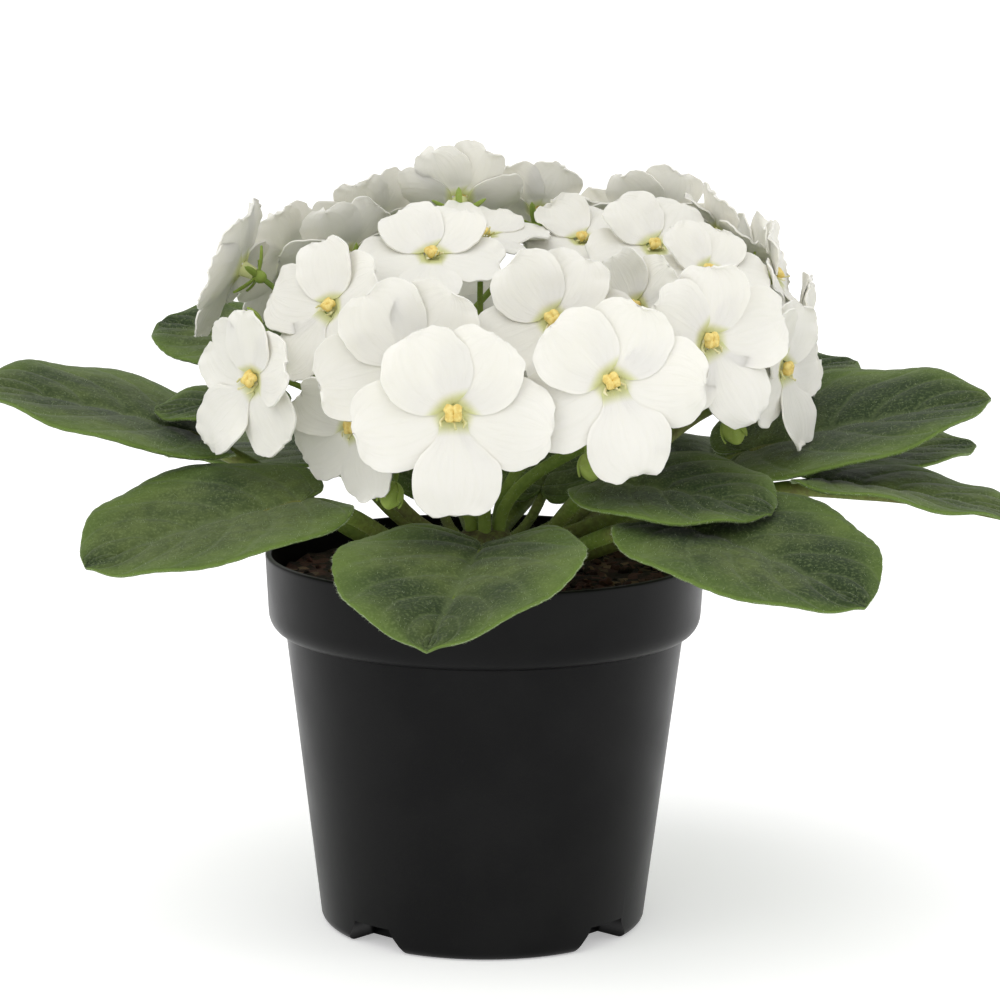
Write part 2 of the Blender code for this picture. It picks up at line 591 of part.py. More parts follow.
def petal_sheet(bm, bloom, petal, waves):
    throat, fork, shoulder, tip = petal_rows(petal)
    earlier = set(bm.verts)
    bmesh.ops.create_grid(bm, x_segments=2, y_segments=4, size=1)
    for vert in set(bm.verts) - earlier:
        column = round(vert.co.x + 1)
        row = round((vert.co.y + 1) * 2)
        if row == 0:
            vert.co = (0, 0, -THROAT_DEPTH - TUBE_LENGTH - TUBE_TIP)
        elif row == 1:
            spot = throat[column] * THROAT_RADIUS
            vert.co = (spot.x, spot.y, -THROAT_DEPTH - TUBE_LENGTH)
        elif row == 2:
            spot = fork[column] * bloom.radius
            vert.co = (spot.x, spot.y, bloom.cup * SEAM_END ** 2)
        else:
            reach = SHOULDER_REACH if row == 3 else 1.0
            spot = (shoulder if row == 3 else tip)[column] * bloom.radius
            height = bloom.cup * reach ** 2 + petal.layer + waves[column] * reach
            vert.co = (spot.x, spot.y, height)


def corolla_shape(bloom, seed):
    # One open sheet of five petals that meet at their seams, thickened to the front,
    # where the anthers stand in the throat as one cone
    draw = Random(seed)
    bm = bmesh.new()
    for petal in PETALS:
        petal_sheet(bm, bloom, petal, [draw.uniform(-PETAL_WAVE, PETAL_WAVE) for _ in range(3)])
    bmesh.ops.remove_doubles(bm, verts=bm.verts, dist=SAME_POINT)
    bmesh.ops.recalc_face_normals(bm, faces=bm.faces)
    bmesh.ops.triangulate(bm, faces=bm.faces)
    out = bmesh.ops.extrude_face_region(bm, geom=bm.faces[:])
    for vert in (element for element in out["geom"] if isinstance(element, bmesh.types.BMVert)):
        distance = math.hypot(vert.co.x, vert.co.y)
        if distance < THROAT_RADIUS / 2:
            vert.co.z = ANTHER_HEIGHT
        elif distance < THROAT_RADIUS * 1.5:
            vert.co.z = -THROAT_DEPTH
        else:
            vert.co.z += PETAL_THICKNESS
    bmesh.ops.recalc_face_normals(bm, faces=bm.faces)
    bm.transform(bloom_frame(bloom))
    return bm


def calyx_shape(frame):
    # A star of narrow sepals behind the corolla's tube, each between two petals
    bm = bmesh.new()
    bmesh.ops.create_cone(bm, cap_ends=True, cap_tris=True, segments=2 * SEPAL_COUNT, radius1=1.0,
                          radius2=1.0, depth=SEPAL_THICKNESS)
    seat = -CALYX_SEAT - SEPAL_THICKNESS / 2
    for vert in bm.verts:
        spoke = Vector((vert.co.x, vert.co.y))
        if spoke.length > 0.5:
            number = round(math.atan2(spoke.x, spoke.y) / math.pi * SEPAL_COUNT)
            tip = number % 2 == 0
            spoke *= SEPAL_LENGTH if tip else SEPAL_FORK_RADIUS
            vert.co = (spoke.x, spoke.y, vert.co.z + (SEPAL_RISE if tip else 0.0))
        vert.co.z += seat
    bm.transform(frame)
    return bm


def backing_shape(frame):
    # The calyx with the start of its pedicel, for the room that they need
    bm = calyx_shape(Matrix())
    earlier = set(bm.verts)
    bmesh.ops.create_cone(bm, cap_ends=True, segments=PEDICEL_SIDES, radius1=2 * PEDICEL_RADIUS,
                          radius2=2 * PEDICEL_RADIUS, depth=PEDICEL_ROOM)
    added = list(set(bm.verts) - earlier)
    bmesh.ops.translate(bm, verts=added, vec=(0, 0, -CALYX_SEAT - PEDICEL_ROOM / 2))
    bm.transform(frame)
    return bm


def places_about():
    # Small moves in order of what they cost; along Y, the way the head is deep, a move
    # costs little
    aside = [i * SETTLE_STEP for i in range(-SETTLE_STEPS, SETTLE_STEPS + 1)]
    moves = [Vector((x, y * SETTLE_DEPTH, z)) for x in aside for y in aside for z in aside]
    return sorted(moves, key=lambda move: Vector((move.x, move.y / SETTLE_DEPTH ** 2, move.z)).length)


def settle(bloom, seed, others):
    # A bloom moves the cheapest way until it and its calyx clear the others, as the
    # petals of a full head settle between each other
    corolla = corolla_shape(bloom, seed)
    backing = backing_shape(bloom_frame(bloom))
    for move in places_about():
        trees = []
        for shape in (corolla, backing):
            trial = shape.copy()
            trial.transform(Matrix.Translation(move))
            trees.append(BVHTree.FromBMesh(trial, epsilon=GAP))
            trial.free()
        if not any(tree.overlap(other) for tree in trees for other in others):
            break
    backing.free()
    corolla.transform(Matrix.Translation(move))
    return corolla, trees, Matrix.Translation(move) @ bloom_frame(bloom)


def make_blooms(leaves):
    # The blooms in the order of the table, with the frame and the trees of each
    frames = {}
    trees = {}
    for seed, (name, bloom) in enumerate(BLOOMS.items()):
        others = leaves + [tree for pair in trees.values() for tree in pair]
        corolla, trees[name], frames[name] = settle(bloom, seed, others)
        add_piece(name, to_mesh(corolla, name), PETAL_WHITE, SOFT)
    return frames, trees


def clear_room(route, trees):
    # The least distance from a route's straight lengths to any of the trees
    room = FAR_OFF
    for near, far in zip(route, route[1:]):
        for i in range(ROOM_SAMPLES):
            point = near.lerp(far, i / ROOM_SAMPLES)
            for tree in trees:
                nearest = tree.find_nearest(point, FAR_OFF)
                if nearest[0] is not None:
                    room = min(room, nearest[3])
    return room


def bends(line):
    # Sideways moves of a stem's two bends, from none to the widest
    across = line.orthogonal().normalized()
    none = Vector()
    yield none, none
    for reach in BEND_REACHES:
        for i in range(BEND_DIRECTIONS):
            aside = Matrix.Rotation(math.tau * i / BEND_DIRECTIONS, 3, line) @ across * reach
            yield aside, aside
            yield aside, none
            yield none, aside


def stem_route(start, leaving, end, arriving, radius, trees):
    # A stem between two places in straight lengths, bent aside as little as clears the
    # trees, or failing that the route with the most room
    span = (end - start).length
    line = (end - start).normalized()
    best = (0.0, None)
    for hook_length in HOOK_LENGTHS:
        lead = start + leaving * span * STEM_LEAD
        hook = end - arriving * min(span * STEM_HOOK, hook_length)
        for aside_lead, aside_hook in bends(line):
            controls = (start, lead + aside_lead, hook + aside_hook, end)
            route = [bezier(controls, i / STEM_STEPS) for i in range(STEM_STEPS + 1)]
            room = clear_room(route, trees)
            if room > radius + GAP:
                return route
            if room > best[0]:
                best = (room, route)
    return best[1]


def bud_shape(place, axis):
    bm = bmesh.new()
    bmesh.ops.create_uvsphere(bm, u_segments=7, v_segments=5, radius=BUD_RADIUS)
    bmesh.ops.scale(bm, vec=(1, 1, BUD_STRETCH), verts=bm.verts)
    turn = Vector((0, 0, 1)).rotation_difference(axis).to_matrix().to_4x4()
    bm.transform(Matrix.Translation(place) @ turn)
    return bm


def make_stalk(name, stalk, frames, trees, obstacles):
    foot = direction(stalk.foot_azimuth) * PEDUNCLE_FOOT_RADIUS
    foot.z = CROWN_TOP_Z + GAP
    knot = Vector(stalk.knot)
    top = Vector((0, 0, 1))
    start = foot + top * PEDUNCLE_FOOT_LENGTH
    everything = obstacles + [tree for pair in trees.values() for tree in pair]
    route = stem_route(start, top, knot, (knot - start).normalized(), PEDUNCLE_RADIUS, everything)
    peduncle = tube("peduncle", [foot] + route, [PEDUNCLE_RADIUS] * (STEM_STEPS + 2), PEDUNCLE_SIDES)
    bm = bmesh.new()
    bmesh.ops.create_icosphere(bm, subdivisions=1, radius=KNOT_RADIUS)
    bmesh.ops.translate(bm, verts=bm.verts, vec=knot)
    pieces = [to_mesh(bm, "knot")]
    radii = [PEDICEL_RADIUS] * (STEM_STEPS + 1)
    for number in stalk.blooms:
        bloom_name = f"bloom_{number:02}"
        frame = frames[bloom_name]
        facing = frame.to_3x3() @ top
        end = frame @ Vector((0, 0, -CALYX_SEAT - SEPAL_THICKNESS / 2))
        others = obstacles + [tree for key, pair in trees.items() if key != bloom_name for tree in pair]
        leaving = (end - knot).normalized()
        route = stem_route(knot, leaving, end, facing, PEDICEL_RADIUS, others)
        pieces.append(tube("pedicel", route, radii, PEDICEL_SIDES))
        pieces.append(to_mesh(calyx_shape(frame), "calyx"))
    for place, azimuth, elevation in stalk.buds:
        place = Vector(place)
        axis = direction(azimuth, elevation)
        end = place - axis * BUD_RADIUS
        route = stem_route(knot, (end - knot).normalized(), end, axis, PEDICEL_RADIUS, everything)
        pieces.append(tube("pedicel", route, radii, PEDICEL_SIDES))
        pieces.append(to_mesh(bud_shape(place, axis), "bud"))
    mesh = joined(name, peduncle, pieces, "UNION")
    return add_piece(name, mesh, STALK_GREEN, HAIRY)


def tree_of(obj):
    bm = bmesh.new()
    bm.from_mesh(obj.data)
    tree = BVHTree.FromBMesh(bm)
    bm.free()
    return tree


clear_scene()
plant = new_collection("potted african violet")
workshop = new_collection("workshop")
make_pot()
make_soil()
make_crown()
grown = [tree_of(make_leaf(name, leaf)) for name, leaf in LEAVES.items()]
bloom_frames, bloom_trees = make_blooms(grown)
for stalk_name, stalk_row in STALKS.items():
    grown.append(tree_of(make_stalk(stalk_name, stalk_row, bloom_frames, bloom_trees, grown)))
bpy.data.collections.remove(workshop)
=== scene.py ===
import math
from collections import namedtuple
from random import Random

import bpy
import numpy as np
from mathutils import Matrix, Vector, noise
from mathutils.bvhtree import BVHTree


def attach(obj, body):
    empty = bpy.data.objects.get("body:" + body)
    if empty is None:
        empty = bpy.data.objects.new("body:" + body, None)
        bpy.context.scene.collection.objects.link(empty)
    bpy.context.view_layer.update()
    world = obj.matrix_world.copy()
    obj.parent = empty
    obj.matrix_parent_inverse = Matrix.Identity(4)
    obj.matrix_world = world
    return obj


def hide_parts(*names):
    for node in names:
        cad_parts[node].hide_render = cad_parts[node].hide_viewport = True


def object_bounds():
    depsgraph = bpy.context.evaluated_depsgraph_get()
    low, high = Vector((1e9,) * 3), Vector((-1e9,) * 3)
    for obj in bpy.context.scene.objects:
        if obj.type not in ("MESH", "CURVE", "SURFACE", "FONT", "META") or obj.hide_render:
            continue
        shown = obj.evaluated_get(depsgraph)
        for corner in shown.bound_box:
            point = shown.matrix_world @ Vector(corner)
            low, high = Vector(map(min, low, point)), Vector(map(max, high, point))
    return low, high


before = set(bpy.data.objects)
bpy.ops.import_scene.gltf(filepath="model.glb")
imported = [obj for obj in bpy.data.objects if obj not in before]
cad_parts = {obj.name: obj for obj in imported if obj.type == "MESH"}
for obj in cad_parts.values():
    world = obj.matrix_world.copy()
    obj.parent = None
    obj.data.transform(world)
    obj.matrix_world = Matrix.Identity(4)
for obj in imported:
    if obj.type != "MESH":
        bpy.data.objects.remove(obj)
cad_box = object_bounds()

SAME_POINT = 0.000001
GAP = 0.0003
SMOOTH_ANGLE = 60
TOP = Vector((0.0, 0.0, 1.0))

# Pot
POT_HEIGHT = 0.0943
POT_RIM_RADIUS = 0.055
POT_RIM_ROUND = 0.0005
POT_COLLAR_RADIUS = 0.0542
POT_COLLAR_HEIGHT = 0.0143
POT_CREASE_RADIUS = 0.0499
POT_CREASE_Z = 0.0747
POT_FOOT_RADIUS = 0.041
POT_FOOT_ROUND = 0.0028
POT_WALL = 0.0013
POT_SIDES = 120
POT_SMOOTH_ANGLE = 35
POT_CENTRE_RADIUS = 0.012
ARCH_AZIMUTHS = (48.5, 138.5, 228.5, 318.5)
ARCH_HEIGHT = 0.0062
ARCH_FOOT_HALF_WIDTH = 0.0092
ARCH_ROOF_HALF_WIDTH = 0.0058
ARCH_INNER_RADIUS = 0.0305
ARCH_STEPS = 8
DRAIN_RADIUS = 0.0028
DRAIN_CENTRE_RADIUS = 0.0355

# Soil and crown
SOIL_LEVEL = 0.0868
SOIL_LUMP = 0.0011
SOIL_WAVES = ((130, 0.0012), (420, 0.0007))
SOIL_RINGS = 22
SOIL_SIDES = 96
CRUMB_COUNT = 460
CRUMB_KINDS = 5
CRUMB_SIZES = (0.0005, 0.0011)
LARGE_CRUMB_SIZES = (0.0012, 0.0019)
LARGE_CRUMB_EVERY = 6
CRUMB_STRETCH = ((0.7, 1.5), (0.7, 1.2), (0.4, 0.8))
CRUMB_TIP = 0.6
CROWN_RADIUS = 0.0078
CROWN_NECK_RADIUS = 0.0066
CROWN_BURIED_Z = 0.079
CROWN_SIDES = 32
CROWN_TOP_Z = 0.1005
CROWN_TOP_RADIUS = 0.0056
LOWER_RING_Z = 0.0905
UPPER_RING_Z = 0.0962

# Leaves. Veins are counted along the blade's parameter, and sweep towards the tip.
BLADE_COLUMNS = 28
BLADE_ROWS = 96
BLADE_THICKNESS = 0.0007
BLADE_NOTCH = 0.14
BROADEST = (0.36, 0.5, 0)
LOBE_START = (-0.33, 0.06, 0)
LOBE_SHOULDER = (-0.12, 0.5, 0)
BLADE_DROOP = 0.06
SCALLOP_STEPS = 8
YOUNG_SCALLOP_STEPS = 6
YOUNG_LENGTH = 0.035
FULL_LENGTH = 0.045
EDGE_SCALLOP = 0.014
EDGE_WAVE = 0.0006
POINTED_SHOULDER = (0.72, 0.5, 0)
ROUND_SHOULDER = (0.82, 0.5, 0)
POINTED_CORNER = (0.93, 0.16, 0)
ROUND_CORNER = (1.0, 0.32, 0)
TOOTH_COUNT = 24
TOOTH_DEPTH = 0.011
VEIN_COUNT = 7
VEIN_SWEEP = 0.30
VEIN_BOW = 1.2
QUILT_RISE = 0.0005
SWELL_PACE = 60
SWELL_RISE = 0.0006
MIDRIB_CHANNEL = 0.0008
MIDRIB_CHANNEL_SHARE = 0.09
PETIOLE_RADIUS = 0.0021
PETIOLE_ROOT_RADIUS = 0.0019
PETIOLE_ROOT_LENGTH = 0.0012
PETIOLE_RISE = 12
PETIOLE_LEAD = 0.4
PETIOLE_HOOK = 0.35
PETIOLE_SEAT = 0.8
PETIOLE_STEPS = 14
MIDRIB_END_RADIUS = 0.0004
MIDRIB_RUN = 0.42
MIDRIB_START = 0.10
MIDRIB_END = 0.86
MIDRIB_SHARE = 0.85
MIDRIB_STEPS = 10

# Hairs
HAIR_RADIUS = 0.00003
BLADE_HAIR_LENGTH = 0.0007
STEM_HAIR_LENGTH = 0.0010
BLADE_HAIRS = 1100
FRINGE_HAIRS = 600
PETIOLE_HAIRS = 240
STALK_HAIRS = 900
CALYX_HAIRS = 400
HAIR_LEAN = 0.35
HAIR_LENGTHS = (0.6, 1.25)
HAIR_SIDE = (0.36, 0.48, 0.80)
FRINGE_LEAN = 0.6
USUAL_BLADE = 0.0033

# Blooms
PETAL_COLUMNS = 12
PETAL_ROWS = 28
PETAL_THICKNESS = 0.00045
PETAL_MIDDLE = 0.00035
PETAL_WAVE = 0.0007
PETAL_HEART = 0.6
BASE_LAYER = 0.2
FRILL = 0.085
FRILL_WAVES = ((2.2, 1.0), (6.0, 0.5), (11.0, 0.22))
RUFFLE = 0.0011
RUFFLE_WAVES = ((2.0, 1.0), (5.0, 0.6))
DIMPLE_PACE = 260
DIMPLE = 0.00018
TIP_NOTCH = 0.05
PETAL_TURN = 4
PETAL_DISH = (-0.05, 0.09)
PETAL_LIFT = 0.07
PETAL_TWIST = 0.09
THROAT_RADIUS = 0.0019
THROAT_DEPTH = 0.0008
TUBE_LENGTH = 0.0034
TUBE_TIP = 0.0004
SEAM_END = 0.36
ANTHER_RADIUS = 0.0011
ANTHER_PLACES = ((-0.0007, 0.0006), (0.0006, 0.0008), (-0.0006, -0.0006), (0.0008, -0.0004))
ANTHER_LIFT = 0.0013
ANTHER_TURN = 35
ANTHER_TIP = (-14, 10)
ANTHER_SIZES = (0.95, 1.1)
FILAMENT = ((0.0005, 0.0, -0.0012), (0.0016, -0.0008, 0.0002), (0.0024, -0.0017, 0.0012),
            (0.0021, -0.0025, 0.0018))
FILAMENT_RADII = (0.0004, 0.00034, 0.00030, 0.00018)
STYLE = ((0, -0.0002, -0.001), (0.0002, -0.0014, 0.0008), (0.0005, -0.0022, 0.0024),
         (0.0006, -0.0025, 0.0034))
STYLE_RADII = (0.0003, 0.00024, 0.00020, 0.00032)
USUAL_BLOOM_RADIUS = 0.0205

# Stalks
PEDUNCLE_RADIUS = 0.0016
PEDUNCLE_FOOT_RADIUS = 0.0038
BRACT_TURNS = (-70, 110)
BRACT_LEAN = 35
KNOT_RADIUS = 0.0022
PEDICEL_RADIUS = 0.0008
STEM_STEPS = 14
STEM_LEAD = 0.35
STEM_HOOK = 0.45
HOOK_LENGTHS = (0.010, 0.006, 0.003)
SEPAL_COUNT = 5
SEPAL_LENGTH = 0.0070
SEPAL_WIDTH = 0.0019
SEPAL_RISE = 0.0023
SEPAL_START = 0.0009
SEPAL_THICKNESS = 0.0004
CUP_RADIUS = 0.0017
CALYX_SEAT = THROAT_DEPTH + TUBE_LENGTH + TUBE_TIP + GAP
BUD_RADIUS = 0.0032
BUD_STRETCH = 1.2
BUD_SEPAL_WIDTH = 0.0026
BUD_SEPAL_START = 18
BUD_SEPAL_RUN = 105
BEND_REACHES = (0.003, 0.006, 0.009, 0.012, 0.016, 0.020)
BEND_DIRECTIONS = 8
FAR_OFF = 0.01

# Colours
LEAF_OLIVE = (0.084, 0.118, 0.028)
LEAF_DEEP = (0.018, 0.036, 0.007)
# Painted highlight: the colour of the glints on the leaf's fine hairs
LEAF_HAIR_HIGHLIGHT = (0.260, 0.330, 0.130)
LEAF_VEIN = (0.110, 0.150, 0.055)
# Light green of the leaf's own margin, also painted over the outer blade as light coming through it
LEAF_MARGIN_AND_LIT_GREEN = (0.135, 0.215, 0.035)
LEAF_UNDERSIDE = (0.125, 0.185, 0.050)
STEM_GREEN = (0.100, 0.160, 0.020)
STEM_TAN = (0.110, 0.110, 0.028)
STEM_BRIGHT = (0.240, 0.330, 0.060)
BUD_GREEN = (0.380, 0.480, 0.110)
CROWN_BROWN = (0.060, 0.050, 0.020)
PETAL_WHITE = (0.850, 0.832, 0.760)
PETAL_SHADE = (0.770, 0.762, 0.665)
THROAT_GREEN = (0.560, 0.600, 0.140)
ANTHER_YELLOW = (0.860, 0.700, 0.240)
ANTHER_AMBER = (0.740, 0.540, 0.140)
FILAMENT_PALE = (0.840, 0.800, 0.520)
FILAMENT_GREEN = (0.600, 0.580, 0.250)
HAIR_WHITE = (0.480, 0.550, 0.360)
HAIR_GREEN = (0.340, 0.410, 0.240)
POT_BLACK = (0.0040, 0.0040, 0.0043)
POT_DUST = (0.0100, 0.0100, 0.0100)
SOIL_DARK = (0.016, 0.009, 0.007)
SOIL_RED = (0.100, 0.040, 0.030)
SOIL_TAN = (0.200, 0.130, 0.080)

Leaf = namedtuple("Leaf", "root_azimuth root_z notch heading pitch_in pitch_out length width fold roll blunt")
LEAF_ROWS = (
    (-78, LOWER_RING_Z, (-0.0710, -0.0050, 0.1240), -84, 18, 9, 0.057, 0.056, 6, 9, 0.3),
    (-48, LOWER_RING_Z, (-0.0440, -0.0395, 0.1135), -63, -5, -20, 0.056, 0.053, 8, 12, 0.5),
    (-3, LOWER_RING_Z, (-0.0010, -0.0560, 0.1050), -14, -10, -24, 0.050, 0.058, 14, -2, 0.2),
    (36, LOWER_RING_Z, (0.0450, -0.0500, 0.1105), 52, -6, -22, 0.055, 0.056, 8, -10, 0.4),
    (52, UPPER_RING_Z, (0.0300, -0.0350, 0.1180), 64, 0, -12, 0.042, 0.045, 6, -11, 0.5),
    (84, UPPER_RING_Z, (0.0660, -0.0060, 0.1215), 88, 18, 8, 0.060, 0.058, 8, -14, 0.2),
    (100, LOWER_RING_Z, (0.0690, 0.0150, 0.1160), 102, 5, -2, 0.058, 0.046, 8, -8, 0.2),
    (67, LOWER_RING_Z, (0.0830, -0.0250, 0.1168), 76, -3, -14, 0.049, 0.042, 8, -1, 0.2),
    (-115, UPPER_RING_Z, (-0.0500, 0.0280, 0.1395), -118, 14, 4, 0.040, 0.040, 6, 16, 0.6),
    (-86, UPPER_RING_Z, (-0.0530, -0.0060, 0.1320), -88, 2, -10, 0.029, 0.026, 6, 12, 0.5),
    (114, UPPER_RING_Z, (0.0600, 0.0350, 0.1290), 122, 14, 2, 0.044, 0.042, 6, -8, 0.2),
    (-142, LOWER_RING_Z, (-0.0420, 0.0500, 0.1100), -140, 4, -14, 0.060, 0.058, 8, 6, 0.2),
    (-165, UPPER_RING_Z, (-0.0120, 0.0580, 0.1220), -166, 12, -6, 0.056, 0.056, 8, 0, 0.2),
    (174, LOWER_RING_Z, (0.0060, 0.0590, 0.1040), 176, -4, -20, 0.058, 0.058, 8, 0, 0.2),
    (164, UPPER_RING_Z, (0.0330, 0.0520, 0.1220), 150, 12, -6, 0.056, 0.054, 8, 0, 0.2),
    (138, LOWER_RING_Z, (0.0490, 0.0460, 0.1080), 134, 2, -14, 0.056, 0.054, 8, -6, 0.2),
    (-140, UPPER_RING_Z, (-0.0120, 0.0200, 0.1075), -166, 40, 24, 0.030, 0.031, 8, 0, 0.6),
    (139, UPPER_RING_Z, (0.0145, 0.0180, 0.1075), 158, 40, 24, 0.030, 0.034, 8, 0, 0.6),
)
LEAVES = {f"leaf_{number:02}": Leaf(*row) for number, row in enumerate(LEAF_ROWS, 1)}

# A petal of a bloom of radius 1: its direction turned from the bloom's own up, length,
# half width, how far (in metres) its two edges stand in front of the corolla's plane, the
# one towards the bloom's right first for the upper petals, and the outline of one half,
# from its claw to its tip, at length and half width 1
Petal = namedtuple("Petal", "axis length half_width right_edge left_edge outline")
BROAD = ((0.00, 0.34), (0.06, 0.74), (0.28, 1.00), (0.56, 1.00), (0.84, 1.00), (1.00, 0.66), (1.00, 0.00))
SPOON = ((0.00, 0.30), (0.30, 0.30), (0.24, 0.88), (0.50, 0.96), (0.74, 1.04), (1.00, 0.70), (1.00, 0.00))
PETALS = (
    Petal(33, 0.85, 0.44, 0.0021, 0.0014, BROAD),
    Petal(104, 0.97, 0.45, -0.0007, -0.0004, BROAD),
    Petal(180, 1.04, 0.44, 0.0010, 0.0010, SPOON),
    Petal(256, 0.97, 0.45, -0.0004, -0.0007, BROAD),
    Petal(327, 0.85, 0.44, 0.0013, 0.0001, BROAD),
)

# A bloom faces an azimuth and elevation, is spun about that, and has a radius and a cup
Bloom = namedtuple("Bloom", "azimuth elevation spin radius cup")
BLOOM_ROWS = (
    (2, 8, 0, 0.0245, 0.0010),
    (4, 10, 13, 0.0235, 0.0005),
    (0, 24, 8, 0.0205, 0.0015),
    (26, 10, 28, 0.0215, 0.0015),
    (-5, 10, 0, 0.0240, 0.0010),
    (-40, 22, -20, 0.0195, 0.0010),
    (-48, 2, -35, 0.0205, 0.0010),
    (-30, -8, 20, 0.0180, 0.0015),
    (0, 52, 0, 0.0185, 0.0010),
    (58, 2, 12, 0.0195, 0.0010),
    (178, 42, 0, 0.0165, 0.0060),
    (8, 48, 0, 0.0180, 0.0010),
    (-104, 24, 0, 0.0200, 0.0010),
    (24, 46, 0, 0.0160, 0.0010),
    (-36, 18, 0, 0.0165, 0.0010),
    (6, 62, 0, 0.0160, 0.0010),
    (-150, 40, 0, 0.0175, 0.0030),
    (168, 40, 0, 0.0175, 0.0040),
    (164, 46, 0, 0.0160, 0.0050),
    (110, 46, 0, 0.0155, 0.0010),
    (80, 22, 0, 0.0155, 0.0010),
    (84, 2, 0, 0.0165, 0.0010),
    (110, 22, 0, 0.0165, 0.0010),
    (-158, 46, 0, 0.0160, 0.0040),
    (-2, 6, 36, 0.0150, 0.0010),
    (20, 76, 0, 0.0175, 0.0010),
    (-124, 20, 0, 0.0180, 0.0010),
    (-146, 10, 0, 0.0185, 0.0010),
    (-172, 6, 0, 0.0200, 0.0010),
    (168, 6, 0, 0.0200, 0.0010),
    (148, 8, 0, 0.0190, 0.0010),
    (-162, 30, 0, 0.0180, 0.0010),
    (164, 30, 0, 0.0180, 0.0010),
    (126, 10, 0, 0.0175, 0.0010),
)
BLOOMS = {f"bloom_{number:02}": Bloom(*row) for number, row in enumerate(BLOOM_ROWS, 1)}

# A flower stalk: azimuth of its foot, the knot where its pedicels part, its blooms, and
# its buds as place, azimuth and elevation
Stalk = namedtuple("Stalk", "foot_azimuth knot blooms buds")
STALKS = {
    "flower_stalk_1": Stalk(-63, (-0.0260, -0.0140, 0.1260), (6, 7, 8, 13, 17, 27),
                            (((-0.0225, -0.0400, 0.1150), -20, -50), ((-0.0580, -0.0180, 0.1540), -80, 30))),
    "flower_stalk_2": Stalk(62, (0.0300, -0.0160, 0.1280), (2, 4, 10, 14, 15, 21, 22),
                            (((0.0250, -0.0440, 0.1230), 20, -60), ((0.0600, -0.0250, 0.1290), 50, -60))),
    "flower_stalk_3": Stalk(-3, (-0.0010, -0.0160, 0.1340), (1, 3, 5, 9, 12, 16, 25, 26), ()),
    "flower_stalk_4": Stalk(-135, (-0.0190, 0.0190, 0.1350), (11, 19, 24, 28, 29, 32), ()),
    "flower_stalk_5": Stalk(127, (0.0280, 0.0200, 0.1350), (18, 20, 23, 30, 31, 33, 34), ()),
}


# Hands: what every piece is made with

def put_down():
    # Object mode, with nothing selected
    if bpy.context.mode != "OBJECT":
        bpy.ops.object.mode_set(mode="OBJECT")
    bpy.ops.object.select_all(action="DESELECT")


def pick_up(*pieces):
    put_down()
    for piece in pieces:
        piece.select_set(True)
    bpy.context.view_layer.objects.active = pieces[0]


def open_mesh(piece):
    # Edit mode with the whole piece selected
    pick_up(piece)
    bpy.ops.object.mode_set(mode="EDIT")
    bpy.ops.mesh.select_all(action="SELECT")


def close_seams(piece):
    open_mesh(piece)
    bpy.ops.mesh.remove_doubles(threshold=SAME_POINT)
    bpy.ops.mesh.normals_make_consistent(inside=False)
    put_down()


def shape_with(piece, kind, **settings):
    # Adds a modifier and applies it
    pick_up(piece)
    modifier = piece.modifiers.new(kind, kind)
    for name, value in settings.items():
        setattr(modifier, name, value)
    bpy.ops.object.modifier_apply(modifier=modifier.name)


def fuse(name, pieces):
    # Several pieces as one object
    pick_up(*pieces)
    if len(pieces) > 1:
        bpy.ops.object.join()
    pieces[0].name = name
    return pieces[0]


def copy_of(model, name, matrix):
    # A copy with its own mesh, carried to its place
    mesh = model.data.copy()
    mesh.transform(matrix)
    piece = bpy.data.objects.new(name, mesh)
    bpy.context.scene.collection.objects.link(piece)
    return piece


def discard(piece):
    bpy.data.objects.remove(piece)


def settle_place(piece):
    # Moves the piece's place into its mesh
    pick_up(piece)
    bpy.ops.object.transform_apply(location=True, rotation=True, scale=True)


def dress(piece, finish, node=None):
    piece.data.materials.clear()
    piece.data.materials.append(finish)
    hand_over(piece, node)


def hand_over(piece, node=None):
    keep_in_box(piece)
    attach(piece, "root")
    if node:
        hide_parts(node)


def keep_in_box(piece):
    # Hairs and ruffles stay inside the CAD model's box
    mesh = piece.data
    places = np.empty(len(mesh.vertices) * 3)
    mesh.vertices.foreach_get("co", places)
    low, high = (np.array(corner) for corner in cad_box)
    mesh.vertices.foreach_set("co", np.clip(places.reshape(-1, 3), low, high).ravel())
    mesh.update()


def new_primitive(kind, **settings):
    # A primitive at its place, with the place kept in its mesh
    put_down()
    getattr(bpy.ops.mesh, f"primitive_{kind}_add")(**settings)
    piece = bpy.context.object
    settle_place(piece)
    return piece


def new_sheet(name, columns, rows):
    sheet = new_primitive("grid", x_subdivisions=columns, y_subdivisions=rows, size=2)
    sheet.name = name
    return sheet


def new_stem(name, points, radii, resolution):
    # A round stem, as thick at each point as its radius there
    curve = bpy.data.curves.new(name, "CURVE")
    curve.dimensions = "3D"
    curve.bevel_depth = 1.0
    curve.bevel_resolution = resolution
    curve.use_fill_caps = True
    spline = curve.splines.new("POLY")
    spline.points.add(len(points) - 1)
    for target, point, radius in zip(spline.points, points, radii):
        target.co = (*point, 1.0)
        target.radius = radius
    piece = bpy.data.objects.new(name, curve)
    bpy.context.scene.collection.objects.link(piece)
    pick_up(piece)
    bpy.ops.object.convert(target="MESH")
    close_seams(piece)
    return piece


def turned(name, profile, sides):
    # A closed solid turned about Z: a circle drawn out ring by ring, capped at both ends
    radius, height = profile[0]
    piece = new_primitive("circle", vertices=sides, radius=radius, location=(0, 0, height), fill_type="NGON")
    piece.name = name
    open_mesh(piece)
    for near, far in zip(profile, profile[1:]):
        lift = (0, 0, far[1] - near[1])
        bpy.ops.mesh.extrude_region_move(TRANSFORM_OT_translate={"value": lift})
        growth = far[0] / near[0]
        bpy.ops.transform.resize(value=(growth, growth, 1), center_override=(0, 0, 0))
    put_down()
    close_seams(piece)
    return piece


def cut(piece, tools):
    # Takes each tool's shape out of the piece
    for tool in tools:
        shape_with(piece, "BOOLEAN", operation="DIFFERENCE", object=tool, solver="EXACT")
        discard(tool)


